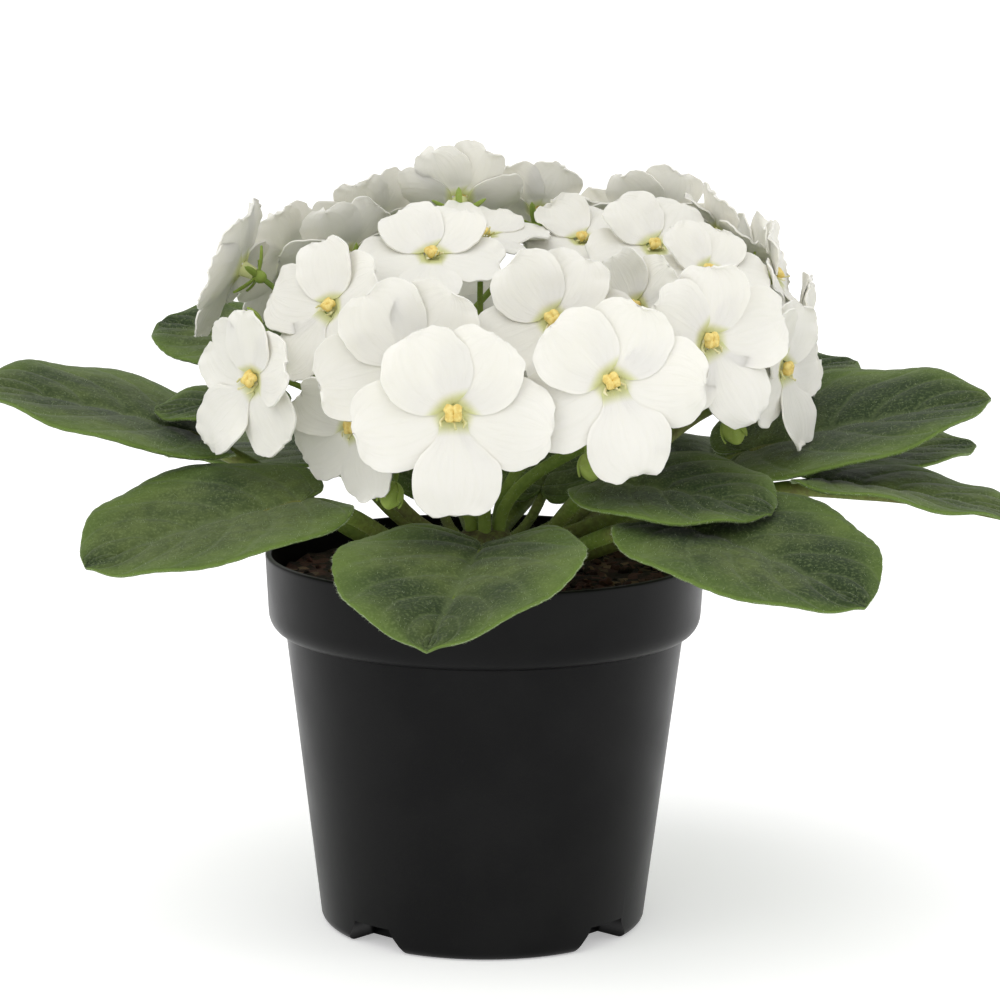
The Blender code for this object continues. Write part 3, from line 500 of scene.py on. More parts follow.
def smooth_by_angle(piece, degrees):
    pick_up(piece)
    bpy.ops.object.shade_smooth_by_angle(angle=math.radians(degrees))


def smooth(piece):
    pick_up(piece)
    bpy.ops.object.shade_smooth()


# Finishes

def new_finish(name, roughness, sockets=()):
    finish = bpy.data.materials.new(name)
    finish.use_nodes = True
    shader = finish.node_tree.nodes["Principled BSDF"]
    shader.inputs["Roughness"].default_value = roughness
    for socket, value in sockets:
        shader.inputs[socket].default_value = value
    return finish, shader


def put_node(finish, kind, inputs, output=0, **settings):
    node = finish.node_tree.nodes.new("ShaderNode" + kind)
    for name, value in settings.items():
        setattr(node, name, value)
    for key, value in inputs.items():
        if isinstance(value, bpy.types.NodeSocket):
            finish.node_tree.links.new(value, node.inputs[key])
        else:
            node.inputs[key].default_value = value
    return node.outputs[output]


def lay_on(finish, shader, colour, height, depth, strength):
    # Gives the shader its colour and a relief as deep as the depth
    bump = put_node(finish, "Bump", {"Height": height, "Distance": depth, "Strength": strength})
    finish.node_tree.links.new(colour, shader.inputs["Base Color"])
    finish.node_tree.links.new(bump, shader.inputs["Normal"])


def object_place(finish):
    return put_node(finish, "TexCoord", {}, output=3)


def across_and_along(finish, vector):
    # The first two numbers of a vector
    across = put_node(finish, "SeparateXYZ", {0: vector})
    return across, across.node.outputs[1]


def grain(finish, place, scale, detail):
    return put_node(finish, "TexNoise", {"Vector": place, "Scale": scale, "Detail": detail})


def fade(finish, value, start, end):
    # 0 before the start and 1 after the end, or the other way round
    inputs = {0: value, 1: start, 2: end, 3: 0.0, 4: 1.0}
    return put_node(finish, "MapRange", inputs, interpolation_type="SMOOTHSTEP")


def mottle(finish, place, scale, detail=3.0, low=0.35, high=0.65):
    # Soft patches from 0 to 1
    return fade(finish, grain(finish, place, scale, detail), low, high)


def work_out(finish, operation, a, b=0.0, c=0.0):
    return put_node(finish, "Math", {0: a, 1: b, 2: c}, operation=operation)


def tint(colour):
    return colour if isinstance(colour, bpy.types.NodeSocket) else (*colour, 1.0)


def blend(finish, share, under, over, strength=1.0):
    # The over colour where the share is 1, as strong as the strength
    if strength != 1.0:
        share = work_out(finish, "MULTIPLY", share, strength)
    inputs = {0: share, 6: tint(under), 7: tint(over)}
    return put_node(finish, "Mix", inputs, output=2, data_type="RGBA")


def leaf_veins(finish, place, across, along):
    # 1 on the midrib and less on the side veins, which sweep towards the tip
    swept = work_out(finish, "MULTIPLY", work_out(finish, "POWER", across, VEIN_BOW), -VEIN_SWEEP)
    phase = work_out(finish, "MULTIPLY", work_out(finish, "ADD", along, swept), VEIN_COUNT)
    wander = work_out(finish, "MULTIPLY", grain(finish, place, 90.0, 1.0), 0.30)
    phase = work_out(finish, "SUBTRACT", work_out(finish, "ADD", phase, wander), 0.15)
    side_vein = fade(finish, work_out(finish, "PINGPONG", phase, 0.5), 0.13, 0.0)
    midrib = fade(finish, across, 0.085, 0.01)
    return work_out(finish, "MAXIMUM", work_out(finish, "MULTIPLY", side_vein, 0.75), midrib)


def leaf_finish():
    # Dark olive above with sunk pale veins, a light margin, a painted glow of light through the outer half of
    # the blade and painted highlights on the hairs, pale green below
    sockets = (("Sheen Weight", 0.10), ("Sheen Roughness", 0.45), ("Specular IOR Level", 0.18))
    finish, shader = new_finish("hairy leaf", 0.58, sockets)
    place = object_place(finish)
    u, along = across_and_along(finish, put_node(finish, "UVMap", {}))
    across = work_out(finish, "ABSOLUTE", work_out(finish, "MULTIPLY_ADD", u, 2.0, -1.0))
    vein = leaf_veins(finish, place, across, along)
    green = blend(finish, mottle(finish, place, 34.0, 3.0, 0.38, 0.60), LEAF_DEEP, LEAF_OLIVE)
    green = blend(finish, mottle(finish, place, 260.0, 4.0), green, LEAF_DEEP, strength=0.40)
    # Fine pale specks: painted highlights on the leaf's hairs
    green = blend(finish, mottle(finish, place, 1500.0, 3.0, 0.46, 0.70), green, LEAF_HAIR_HIGHLIGHT, strength=0.24)
    green = blend(finish, vein, green, LEAF_VEIN, strength=0.45)
    # Painted light: the outer half of the blade turns lighter green, as if light were coming through the thin
    # blade; the thin edge next is the leaf's own light margin
    green = blend(finish, fade(finish, across, 0.50, 1.0), green, LEAF_MARGIN_AND_LIT_GREEN, strength=0.42)
    green = blend(finish, fade(finish, across, 0.96, 1.0), green, LEAF_MARGIN_AND_LIT_GREEN, strength=0.75)
    under = blend(finish, vein, LEAF_UNDERSIDE, LEAF_MARGIN_AND_LIT_GREEN, strength=0.4)
    below = put_node(finish, "Attribute", {}, output=2, attribute_name="underside")
    colour = blend(finish, below, green, under)
    cells = put_node(finish, "TexVoronoi", {"Vector": place, "Scale": 330.0}, feature="SMOOTH_F1")
    pits = work_out(finish, "MULTIPLY", cells, -1.0)
    pits = work_out(finish, "SUBTRACT", pits, work_out(finish, "MULTIPLY", vein, 0.6))
    down = work_out(finish, "MULTIPLY", grain(finish, place, 1500.0, 2.0), 0.35)
    lay_on(finish, shader, colour, work_out(finish, "ADD", pits, down), depth=0.0005, strength=0.8)
    return finish


def stem_finish(name, under, over):
    sockets = (("Subsurface Weight", 0.15), ("Subsurface Radius", (0.0006, 0.0012, 0.0003)),
               ("Subsurface Scale", 1.0), ("Specular IOR Level", 0.25))
    finish, shader = new_finish(name, 0.62, sockets)
    place = object_place(finish)
    green = blend(finish, mottle(finish, place, 38.0), under, over)
    green = blend(finish, mottle(finish, place, 900.0, 2.0), green, STEM_BRIGHT, strength=0.25)
    lay_on(finish, shader, green, grain(finish, place, 1400.0, 2.0), depth=0.0002, strength=0.6)
    return finish


def petal_finish():
    # Warm white with faint long veins and a greenish yellow throat
    sockets = (("Subsurface Weight", 0.35), ("Subsurface Radius", (0.0014, 0.0014, 0.0012)),
               ("Subsurface Scale", 1.0), ("Specular IOR Level", 0.25))
    finish, shader = new_finish("soft white petal", 0.55, sockets)
    place = object_place(finish)
    uv = put_node(finish, "UVMap", {})
    along = across_and_along(finish, uv)[1]
    stretched = put_node(finish, "Mapping", {0: uv, 3: (17.0, 1.6, 1.0)})
    streak = mottle(finish, stretched, 1.0, 3.0, 0.42, 0.68)
    cream = blend(finish, streak, PETAL_WHITE, PETAL_SHADE, strength=0.16)
    cream = blend(finish, mottle(finish, place, 60.0), cream, PETAL_SHADE, strength=0.20)
    cream = blend(finish, fade(finish, along, 0.13, 0.01), cream, THROAT_GREEN, strength=0.7)
    fine = work_out(finish, "MULTIPLY", grain(finish, place, 900.0, 3.0), 0.5)
    lay_on(finish, shader, cream, work_out(finish, "ADD", fine, streak), depth=0.0002, strength=0.25)
    return finish


def plain_finish(name, colour, darker, scale, roughness):
    # A small part's colour with fine darker patches
    finish, shader = new_finish(name, roughness)
    place = object_place(finish)
    patched = blend(finish, mottle(finish, place, scale), colour, darker)
    lay_on(finish, shader, patched, grain(finish, place, 3 * scale, 2.0), depth=0.00015, strength=0.6)
    return finish


def pot_finish():
    # Satin black plastic with a fine moulded grain and faint dusty patches
    finish, shader = new_finish("satin black plastic", 0.32, (("Specular IOR Level", 0.10),))
    place = object_place(finish)
    black = blend(finish, mottle(finish, place, 45.0, 5.0), POT_BLACK, POT_DUST, strength=0.35)
    inputs = {0: grain(finish, place, 70.0, 4.0), 1: 0.3, 2: 0.7, 3: 0.30, 4: 0.38}
    finish.node_tree.links.new(put_node(finish, "MapRange", inputs), shader.inputs["Roughness"])
    lay_on(finish, shader, black, grain(finish, place, 2600.0, 2.0), depth=0.00006, strength=0.35)
    return finish


def soil_finish():
    finish, shader = new_finish("peat and bark mix", 0.95)
    place = object_place(finish)
    bits = put_node(finish, "TexVoronoi", {"Vector": place, "Scale": 420.0}, output=1)
    red, tan = across_and_along(finish, bits)
    brown = blend(finish, fade(finish, red, 0.3, 0.9), SOIL_DARK, SOIL_RED)
    brown = blend(finish, fade(finish, tan, 0.86, 0.97), brown, SOIL_TAN)
    lay_on(finish, shader, brown, grain(finish, place, 1100.0, 5.0), depth=0.0006, strength=1.0)
    return finish


# Geometry shared with the CAD

def bezier(controls, t):
    a, b, c, d = (Vector(point) for point in controls)
    s = 1.0 - t
    return a * s ** 3 + b * (3 * s * s * t) + c * (3 * s * t * t) + d * t ** 3


def direction(azimuth, elevation=0.0):
    azimuth = math.radians(azimuth)
    elevation = math.radians(elevation)
    flat = math.cos(elevation)
    return Vector((math.sin(azimuth) * flat, -math.cos(azimuth) * flat, math.sin(elevation)))


def ease(value, start, end):
    t = min(1.0, max(0.0, (value - start) / (end - start)))
    return t * t * (3 - 2 * t)


# Leaves

def blade_outline(t, blunt):
    # Half of a heart-shaped blade of length and width 1, from its notch to its tip
    if t < 0.5:
        return bezier(((0, 0, 0), LOBE_START, LOBE_SHOULDER, BROADEST), t * 2)
    shoulder = Vector(POINTED_SHOULDER).lerp(Vector(ROUND_SHOULDER), blunt)
    corner = Vector(POINTED_CORNER).lerp(Vector(ROUND_CORNER), blunt)
    return bezier((BROADEST, shoulder, corner, (1, 0, 0)), t * 2 - 1)


def blade_bend(leaf, along, across):
    # A point of the flat blade carried on to the bent one, with the blade's up there
    bend = max(along, 0.0) * (leaf.pitch_out - leaf.pitch_in)
    pitch = math.radians(leaf.pitch_in + bend)
    mean_pitch = math.radians(leaf.pitch_in + bend / 2)
    out = direction(leaf.heading)
    left = Vector((-out.y, out.x, 0.0))
    spine = (out * math.cos(mean_pitch) + TOP * math.sin(mean_pitch)) * (along * leaf.length)
    up = TOP * math.cos(pitch) - out * math.sin(pitch)
    roll = math.radians(leaf.roll)
    side = left * math.cos(roll) - up * math.sin(roll)
    up = up * math.cos(roll) + left * math.sin(roll)
    half = leaf.width / 2
    reach = across * leaf.width
    lift = abs(reach) * math.sin(math.radians(leaf.fold)) - BLADE_DROOP * half * (reach / half) ** 2
    return Vector(leaf.notch) + spine + side * reach + up * lift, up


def vein_depth(t, share):
    # 1 in a side vein and 0 between two of them, on the lines that the finish draws
    phase = (t - VEIN_SWEEP * share ** VEIN_BOW) * VEIN_COUNT
    return 1.0 - ease(abs(phase - round(phase)), 0.0, 0.32)


def blade_point(leaf, t, across):
    outline = blade_outline(t, leaf.blunt)
    share = abs(across)
    midrib = max(0.0, (t - BLADE_NOTCH) / (1.0 - BLADE_NOTCH))
    along = midrib + (outline.x - midrib) * share
    ends = min(1.0, 6 * math.sin(math.pi * t))
    scallops = SCALLOP_STEPS if leaf.length > YOUNG_LENGTH else YOUNG_SCALLOP_STEPS
    wave = math.cos(math.pi * scallops * t) * ends * share ** 2
    tooth = abs(math.sin(math.pi * TOOTH_COUNT * t)) * ends * share ** 8
    width = outline.y * across * (1.0 + wave * EDGE_SCALLOP + tooth * TOOTH_DEPTH)
    point, up = blade_bend(leaf, along, width)
    inner = ends * (1.0 - share ** 4)
    puff = (1.0 - vein_depth(t, share)) * inner * QUILT_RISE
    channel = math.exp(-(share / MIDRIB_CHANNEL_SHARE) ** 2) * inner * MIDRIB_CHANNEL
    swell = noise.noise(point * SWELL_PACE) * SWELL_RISE
    return point + up * (wave * EDGE_WAVE + puff - channel + swell), up


def make_blade(name, leaf, finish):
    sheet = new_sheet(name + "_blade", BLADE_COLUMNS, BLADE_ROWS)
    for vertex in sheet.data.vertices:
        t = (vertex.co.y + 1) / 2
        vertex.co = blade_point(leaf, t, vertex.co.x)[0]
    close_seams(sheet)
    half = len(sheet.data.vertices)
    shape_with(sheet, "SOLIDIFY", thickness=BLADE_THICKNESS, offset=0)
    mark_underside(sheet, half, blade_bend(leaf, 0.5, 0.0)[1])
    smooth(sheet)
    dress(sheet, finish, name)
    return sheet


def mark_underside(sheet, half, up):
    # 1 on the points of the lower skin, for the finish
    vertices = sheet.data.vertices
    first_is_top = (vertices[half // 2].co - vertices[half // 2 + half].co).dot(up) > 0
    marks = sheet.data.attributes.new("underside", "FLOAT", "POINT")
    for i, mark in enumerate(marks.data):
        mark.value = float((i < half) != first_is_top)


def make_petiole(name, leaf, finish):
    # From the crown's side out to the notch, then on under the blade as its midrib
    outward = direction(leaf.root_azimuth)
    growth = min(1.0, leaf.length / FULL_LENGTH)
    root_radius = PETIOLE_ROOT_RADIUS * growth
    end_radius = PETIOLE_RADIUS * growth
    root = outward * CROWN_RADIUS + TOP * leaf.root_z
    start = root + outward * PETIOLE_ROOT_LENGTH
    notch, up = blade_bend(leaf, 0.0, 0.0)
    heading = (blade_bend(leaf, MIDRIB_RUN / 4, 0.0)[0] - notch).normalized()
    seat = notch - up * (end_radius * PETIOLE_SEAT) + heading * end_radius
    span = (seat - start).length
    rising = direction(leaf.root_azimuth, PETIOLE_RISE)
    controls = (start, start + rising * span * PETIOLE_LEAD, seat - heading * span * PETIOLE_HOOK, seat)
    points = [root - outward * GAP * 3]
    radii = [root_radius]
    for i in range(PETIOLE_STEPS + 1):
        t = i / PETIOLE_STEPS
        points.append(bezier(controls, t))
        radii.append(root_radius + (end_radius - root_radius) * t)
    for i in range(1, MIDRIB_STEPS + 1):
        t = i / MIDRIB_STEPS
        along = MIDRIB_START + (MIDRIB_END - MIDRIB_START) * t
        first = end_radius * MIDRIB_SHARE
        radius = first + (MIDRIB_END_RADIUS - first) * t ** 0.7
        place, up = blade_bend(leaf, along, 0.0)
        points.append(place - up * (radius * PETIOLE_SEAT + MIDRIB_CHANNEL))
        radii.append(radius)
    petiole = new_stem(name + "_petiole", points, radii, 4)
    smooth_by_angle(petiole, SMOOTH_ANGLE)
    dress(petiole, finish, name)
    return petiole


# Hairs

def model_hair():
    # One hair, from its root up along Z, as its points and faces
    hair = new_primitive("cone", vertices=3, radius1=HAIR_RADIUS, radius2=0, depth=1, location=(0, 0, 0.45))
    points = np.array([vertex.co[:] for vertex in hair.data.vertices])
    faces = [tuple(face.vertices) for face in hair.data.polygons]
    discard(hair)
    return points, faces


def surface_spots(piece, count, draw):
    # Places spread evenly over a piece's faces, with the normal at each
    mesh = piece.data
    mesh.calc_loop_triangles()
    corners = np.empty(len(mesh.loop_triangles) * 3, dtype=int)
    mesh.loop_triangles.foreach_get("vertices", corners)
    places = np.empty(len(mesh.vertices) * 3)
    mesh.vertices.foreach_get("co", places)
    a, b, c = places.reshape(-1, 3)[corners.reshape(-1, 3)].transpose(1, 0, 2)
    cross = np.cross(b - a, c - a)
    area = np.linalg.norm(cross, axis=1)
    chosen = draw.choice(len(area), count, p=area / area.sum())
    u = draw.random((count, 1))
    v = draw.random((count, 1))
    over = u + v > 1
    u[over] = 1 - u[over]
    v[over] = 1 - v[over]
    spots = a[chosen] + (b - a)[chosen] * u + (c - a)[chosen] * v
    return spots, cross[chosen] / area[chosen, None]


def coat(name, hair, spots, growing, length, draw, finish):
    # Hairs fused into one object, each leaning a little off the way it grows
    points, faces = hair
    count = len(spots)
    lean = growing + draw.normal(0, HAIR_LEAN, (count, 3))
    lean /= np.linalg.norm(lean, axis=1)[:, None]
    aside = np.cross(lean, HAIR_SIDE)
    aside /= np.linalg.norm(aside, axis=1)[:, None] + SAME_POINT
    other = np.cross(lean, aside)
    lengths = length * draw.uniform(*HAIR_LENGTHS, (count, 1))
    x, y, z = points.T[:, None, :, None]
    shell = spots[:, None, :] + aside[:, None, :] * x + other[:, None, :] * y
    shell = shell + lean[:, None, :] * (z * lengths[:, None, :])
    size = len(points)
    mesh = bpy.data.meshes.new(name)
    every = [tuple(corner + size * i for corner in face) for i in range(count) for face in faces]
    mesh.from_pydata(shell.reshape(-1, 3).tolist(), [], every)
    piece = bpy.data.objects.new(name, mesh)
    bpy.context.scene.collection.objects.link(piece)
    close_normals(piece)
    dress(piece, finish)
    return piece


def close_normals(piece):
    open_mesh(piece)
    bpy.ops.mesh.normals_make_consistent(inside=False)
    put_down()


def leaf_hairs(name, leaf, blade, petiole, hair, seed, finish):
    draw = np.random.default_rng(seed)
    size = leaf.length * leaf.width / USUAL_BLADE
    spots, growing = surface_spots(blade, round(BLADE_HAIRS * size), draw)
    fringe_spots = []
    fringe_growing = []
    for _ in range(round(FRINGE_HAIRS * size ** 0.5)):
        t = draw.uniform(0.02, 0.98)
        side = draw.choice((-1.0, 1.0))
        edge, up = blade_point(leaf, t, side)
        inner = blade_point(leaf, t, side * 0.9)[0]
        fringe_spots.append(edge[:])
        lean = up * draw.uniform(-FRINGE_LEAN, FRINGE_LEAN)
        fringe_growing.append(((edge - inner).normalized() + lean)[:])
    stem_spots, stem_growing = surface_spots(petiole, PETIOLE_HAIRS, draw)
    spots = np.concatenate((spots, np.array(fringe_spots), stem_spots))
    growing = np.concatenate((growing, np.array(fringe_growing), stem_growing))
    coat(name + "_hairs", hair, spots, growing, BLADE_HAIR_LENGTH, draw, finish)


def make_leaves(hair, finishes):
    for seed, (name, leaf) in enumerate(LEAVES.items()):
        blade = make_blade(name, leaf, finishes["leaf"])
        petiole = make_petiole(name, leaf, finishes["petiole"])
        leaf_hairs(name, leaf, blade, petiole, hair, seed, finishes["hair"])


# Blooms

def bloom_frame(name, bloom):
    # X to the bloom's right, Y up and Z forward, seen from its front. The hindmost point
    # of the CAD bloom is the tip of its tube.
    facing = direction(bloom.azimuth, bloom.elevation)
    tip = min((vertex.co for vertex in bpy.data.objects[name].data.vertices), key=facing.dot)
    throat = tip + facing * (THROAT_DEPTH + TUBE_LENGTH + TUBE_TIP)
    azimuth = math.radians(bloom.azimuth)
    right = Vector((math.cos(azimuth), math.sin(azimuth), 0.0))
    axes = Matrix((right, facing.cross(right), facing)).transposed().to_4x4()
    return Matrix.Translation(throat) @ axes @ Matrix.Rotation(math.radians(bloom.spin), 4, "Z")


def petal_outline(petal, notch, t):
    if t < 0.5:
        return bezier(petal.outline[:4], t * 2)
    edge = bezier(petal.outline[3:], t * 2 - 1)
    edge.x -= notch * ease(t, 0.86, 1.0)
    return edge


def petal_point(bloom, petal, waves, quirks, t, across):
    # A point of one petal in the bloom's own frame
    outline = petal_outline(petal, quirks.notch, t)
    share = abs(across)
    side = 1.0 if across >= 0 else -1.0
    spine = t ** 0.85 * (1.0 - quirks.notch)
    x = spine + (outline.x - spine) * share ** 1.5
    y = outline.y * across
    turn = math.atan2(outline.y * side, outline.x - PETAL_HEART)
    spot = Vector((math.cos(turn), math.sin(turn), 0.0))
    free = ease(t, 0.15, 0.5) * share ** 3
    frill = sum(part * noise.noise(spot * pace + quirks.seat) for pace, part in FRILL_WAVES)
    x += (x - PETAL_HEART) * frill * FRILL * free
    y += y * frill * FRILL * free
    claw = THROAT_RADIUS / bloom.radius
    reach = claw + x * (petal.length - claw)
    width = y * petal.half_width
    angle = math.radians(petal.axis + quirks.turn)
    along = Vector((-math.sin(angle), math.cos(angle)))
    flat = (along * reach + Vector((-along.y, along.x)) * width) * bloom.radius
    radial = flat.length / bloom.radius
    outer = ease(radial, SEAM_END * 0.7, 0.85)
    wave = waves[1] + (waves[0 if across < 0 else 2] - waves[1]) * share ** 2
    layer = petal.right_edge + (petal.left_edge - petal.right_edge) * (across + 1) / 2
    height = bloom.cup * radial ** 2 + (layer + wave) * outer + layer * BASE_LAYER
    height -= THROAT_DEPTH * (1 - ease(radial, claw, claw + 0.16))
    ruffle = sum(part * noise.noise(spot * pace + quirks.seat * 2) for pace, part in RUFFLE_WAVES)
    height += ruffle * RUFFLE * share ** 2 * outer
    height += quirks.dish * bloom.radius * width ** 2 / petal.half_width ** 2 * outer
    height += quirks.lift * bloom.radius * max(0.0, radial - 0.2) ** 1.5
    height += quirks.twist * bloom.radius * width * outer
    height += noise.noise(Vector((flat.x, flat.y, quirks.seat.x)) * DIMPLE_PACE) * DIMPLE * outer
    return Vector((flat.x, flat.y, height + PETAL_MIDDLE))


Quirks = namedtuple("Quirks", "seat turn dish lift twist notch")


def make_corolla(name, bloom, place, seed, finish):
    # Five petal sheets on a short tube
    coarse = Random(seed)
    fine = Random(1000 + seed)
    sheets = []
    for petal in PETALS:
        waves = [coarse.uniform(-PETAL_WAVE, PETAL_WAVE) for _ in range(3)]
        seat = Vector((fine.uniform(0, 40), fine.uniform(0, 40), fine.uniform(0, 40)))
        quirks = Quirks(seat, fine.uniform(-PETAL_TURN, PETAL_TURN), fine.uniform(*PETAL_DISH),
                        fine.uniform(-PETAL_LIFT, PETAL_LIFT), fine.uniform(-PETAL_TWIST, PETAL_TWIST),
                        fine.uniform(0.0, 2 * TIP_NOTCH))
        sheet = new_sheet("petal", PETAL_COLUMNS, PETAL_ROWS)
        for vertex in sheet.data.vertices:
            t = (vertex.co.y + 1) / 2
            vertex.co = petal_point(bloom, petal, waves, quirks, t, vertex.co.x)
        sheets.append(sheet)
    corolla = fuse(name + "_corolla", sheets)
    close_seams(corolla)
    shape_with(corolla, "SOLIDIFY", thickness=PETAL_THICKNESS, offset=0)
    middle = (0, 0, -THROAT_DEPTH - TUBE_LENGTH / 2)
    tube = new_primitive("cone", vertices=16, radius1=THROAT_RADIUS * 0.8, radius2=THROAT_RADIUS * 1.05,
                         depth=TUBE_LENGTH, location=middle)
    for corner in tube.data.uv_layers.active.data:
        corner.uv = (0.5, 0.0)
    corolla = fuse(name + "_corolla", [corolla, tube])
    corolla.data.transform(place)
    smooth_by_angle(corolla, SMOOTH_ANGLE)
    dress(corolla, finish, name)
    return corolla


def model_anthers(finishes):
    # Four lobes of pollen pressed together, on pale filaments that bow out below them
    lobes = []
    for across, along in ANTHER_PLACES:
        place = (across, along, ANTHER_LIFT)
        lobe = new_primitive("uv_sphere", segments=12, ring_count=8, radius=ANTHER_RADIUS, location=place)
        open_mesh(lobe)
        bpy.ops.transform.resize(value=(0.95, 1.05, 0.90), center_override=place)
        put_down()
        lobes.append(lobe)
    pollen = fuse("pollen", lobes)
    for vertex in pollen.data.vertices:
        vertex.co += vertex.normal * noise.noise(vertex.co * 1100) * 0.0004
    pollen.data.materials.append(finishes["anther"])
    stems = []
    for side in (-1, 1):
        points = [(side * x, y, z) for x, y, z in FILAMENT]
        stems.append(new_stem("filament", points, FILAMENT_RADII, 1))
    stems.append(new_stem("style", STYLE, STYLE_RADII, 1))
    pale = fuse("filaments", stems)
    pale.data.materials.append(finishes["filament"])
    model = fuse("anthers", [pollen, pale])
    smooth_by_angle(model, SMOOTH_ANGLE)
    return model


def make_blooms(finishes):
    places = {}
    anthers = model_anthers(finishes)
    for seed, (name, bloom) in enumerate(BLOOMS.items()):
        place = bloom_frame(name, bloom)
        make_corolla(name, bloom, place, seed, finishes["petal"])
        draw = Random(2000 + seed)
        turn = Matrix.Rotation(math.radians(draw.uniform(-ANTHER_TURN, ANTHER_TURN)), 4, "Z")
        tip = Matrix.Rotation(math.radians(draw.uniform(*ANTHER_TIP)), 4, "X")
        size = Matrix.Scale(bloom.radius / USUAL_BLOOM_RADIUS * draw.uniform(*ANTHER_SIZES), 4)
        piece = copy_of(anthers, name + "_anthers", place @ turn @ tip @ size)
        hand_over(piece)
        places[name] = place
    discard(anthers)
    return places


# Stalks

def tree_of(piece):
    points = [vertex.co for vertex in piece.data.vertices]
    return BVHTree.FromPolygons(points, [face.vertices for face in piece.data.polygons])


def clear_room(route, trees):
    room = FAR_OFF
    for point in route:
        for tree in trees:
            nearest = tree.find_nearest(point, FAR_OFF)
            if nearest[0] is not None:
                room = min(room, nearest[3])
    return room


def bends(line):
    # Sideways moves of a stem's two bends, from none to the widest
    across = line.orthogonal().normalized()
    none = Vector()
    yield none, none
    for reach in BEND_REACHES:
        for i in range(BEND_DIRECTIONS):
            aside = Matrix.Rotation(math.tau * i / BEND_DIRECTIONS, 3, line) @ across * reach
            yield aside, aside
            yield aside, none
            yield none, aside


def stem_route(start, leaving, end, arriving, radius, trees):
    # A curve between two places, bent aside as little as clears the trees, or failing
    # that the one with the most room
    span = (end - start).length
    line = (end - start).normalized()
    best = (-1.0, None)
    for hook_length in HOOK_LENGTHS:
        lead = start + leaving * span * STEM_LEAD
        hook = end - arriving * min(span * STEM_HOOK, hook_length)
        for aside_lead, aside_hook in bends(line):
            controls = (start, lead + aside_lead, hook + aside_hook, end)
            route = [bezier(controls, i / STEM_STEPS) for i in range(STEM_STEPS + 1)]
            room = clear_room(route[:-1], trees)
            if room > radius + GAP:
                return route
            if room > best[0]:
                best = (room, route)
    return best[1]


def model_sepal():
    # A narrow pointed sepal along +Y from the axis, with a keel
    sheet = new_sheet("sepal", 4, 8)
    for vertex in sheet.data.vertices:
        t = (vertex.co.y + 1) / 2
        across = vertex.co.x
        width = SEPAL_WIDTH / 2 * (1.0 - t) ** 0.6 * (0.55 + 1.3 * t)
        rise = SEPAL_RISE * t ** 1.6 + 0.0003 * across ** 2
        vertex.co = (across * width, SEPAL_START + (SEPAL_LENGTH - SEPAL_START) * t, rise)
    close_seams(sheet)
    shape_with(sheet, "SOLIDIFY", thickness=SEPAL_THICKNESS, offset=0)
    return sheet


def model_calyx(sepal):
    pieces = []
    for i in range(SEPAL_COUNT):
        turn = Matrix.Rotation(math.tau * i / SEPAL_COUNT, 4, "Z")
        pieces.append(copy_of(sepal, "sepal", turn @ Matrix.Rotation(0.12 * (i % 2) - 0.06, 4, "X")))
    cup = new_primitive("uv_sphere", segments=12, ring_count=8, radius=CUP_RADIUS, location=(0, 0, -0.0004))
    for vertex in cup.data.vertices:
        vertex.co.z *= 0.7 if vertex.co.z > 0 else 1.2
    calyx = fuse("calyx", pieces + [cup])
    calyx.data.transform(Matrix.Translation((0, 0, -CALYX_SEAT)))
    return calyx


def bud_sepal(number):
    # One of the sepals that press against a closed bud, with its tip a little free
    sheet = new_sheet("bud_sepal", 4, 10)
    for vertex in sheet.data.vertices:
        t = (vertex.co.y + 1) / 2
        slope = math.radians(BUD_SEPAL_START + BUD_SEPAL_RUN * t)
        reach = BUD_RADIUS * (0.94 * math.sin(slope) + 0.12 * t ** 4)
        half = BUD_SEPAL_WIDTH / 2 * (1.0 - t) ** 0.6 * (0.8 + 0.9 * t)
        turn = math.tau * number / SEPAL_COUNT + vertex.co.x * half / reach
        height = -math.cos(slope) * BUD_RADIUS * BUD_STRETCH * 0.95
        vertex.co = (reach * math.cos(turn), reach * math.sin(turn), height)
    close_seams(sheet)
    shape_with(sheet, "SOLIDIFY", thickness=SEPAL_THICKNESS, offset=0)
    return sheet


def model_bud():
    # A closed bud along +Z: a round ribbed body between its sepals
    body = new_primitive("uv_sphere", segments=20, ring_count=12, radius=BUD_RADIUS * 0.9)
    for vertex in body.data.vertices:
        rib = math.atan2(vertex.co.y, vertex.co.x) * SEPAL_COUNT
        pinch = 1.0 - 0.25 * ease(vertex.co.z, 0.0, BUD_RADIUS)
        vertex.co.x *= pinch * (1 - 0.06 * math.cos(rib))
        vertex.co.y *= pinch * (1 - 0.06 * math.cos(rib))
        vertex.co.z *= BUD_STRETCH
    return fuse("bud", [body] + [bud_sepal(number) for number in range(SEPAL_COUNT)])


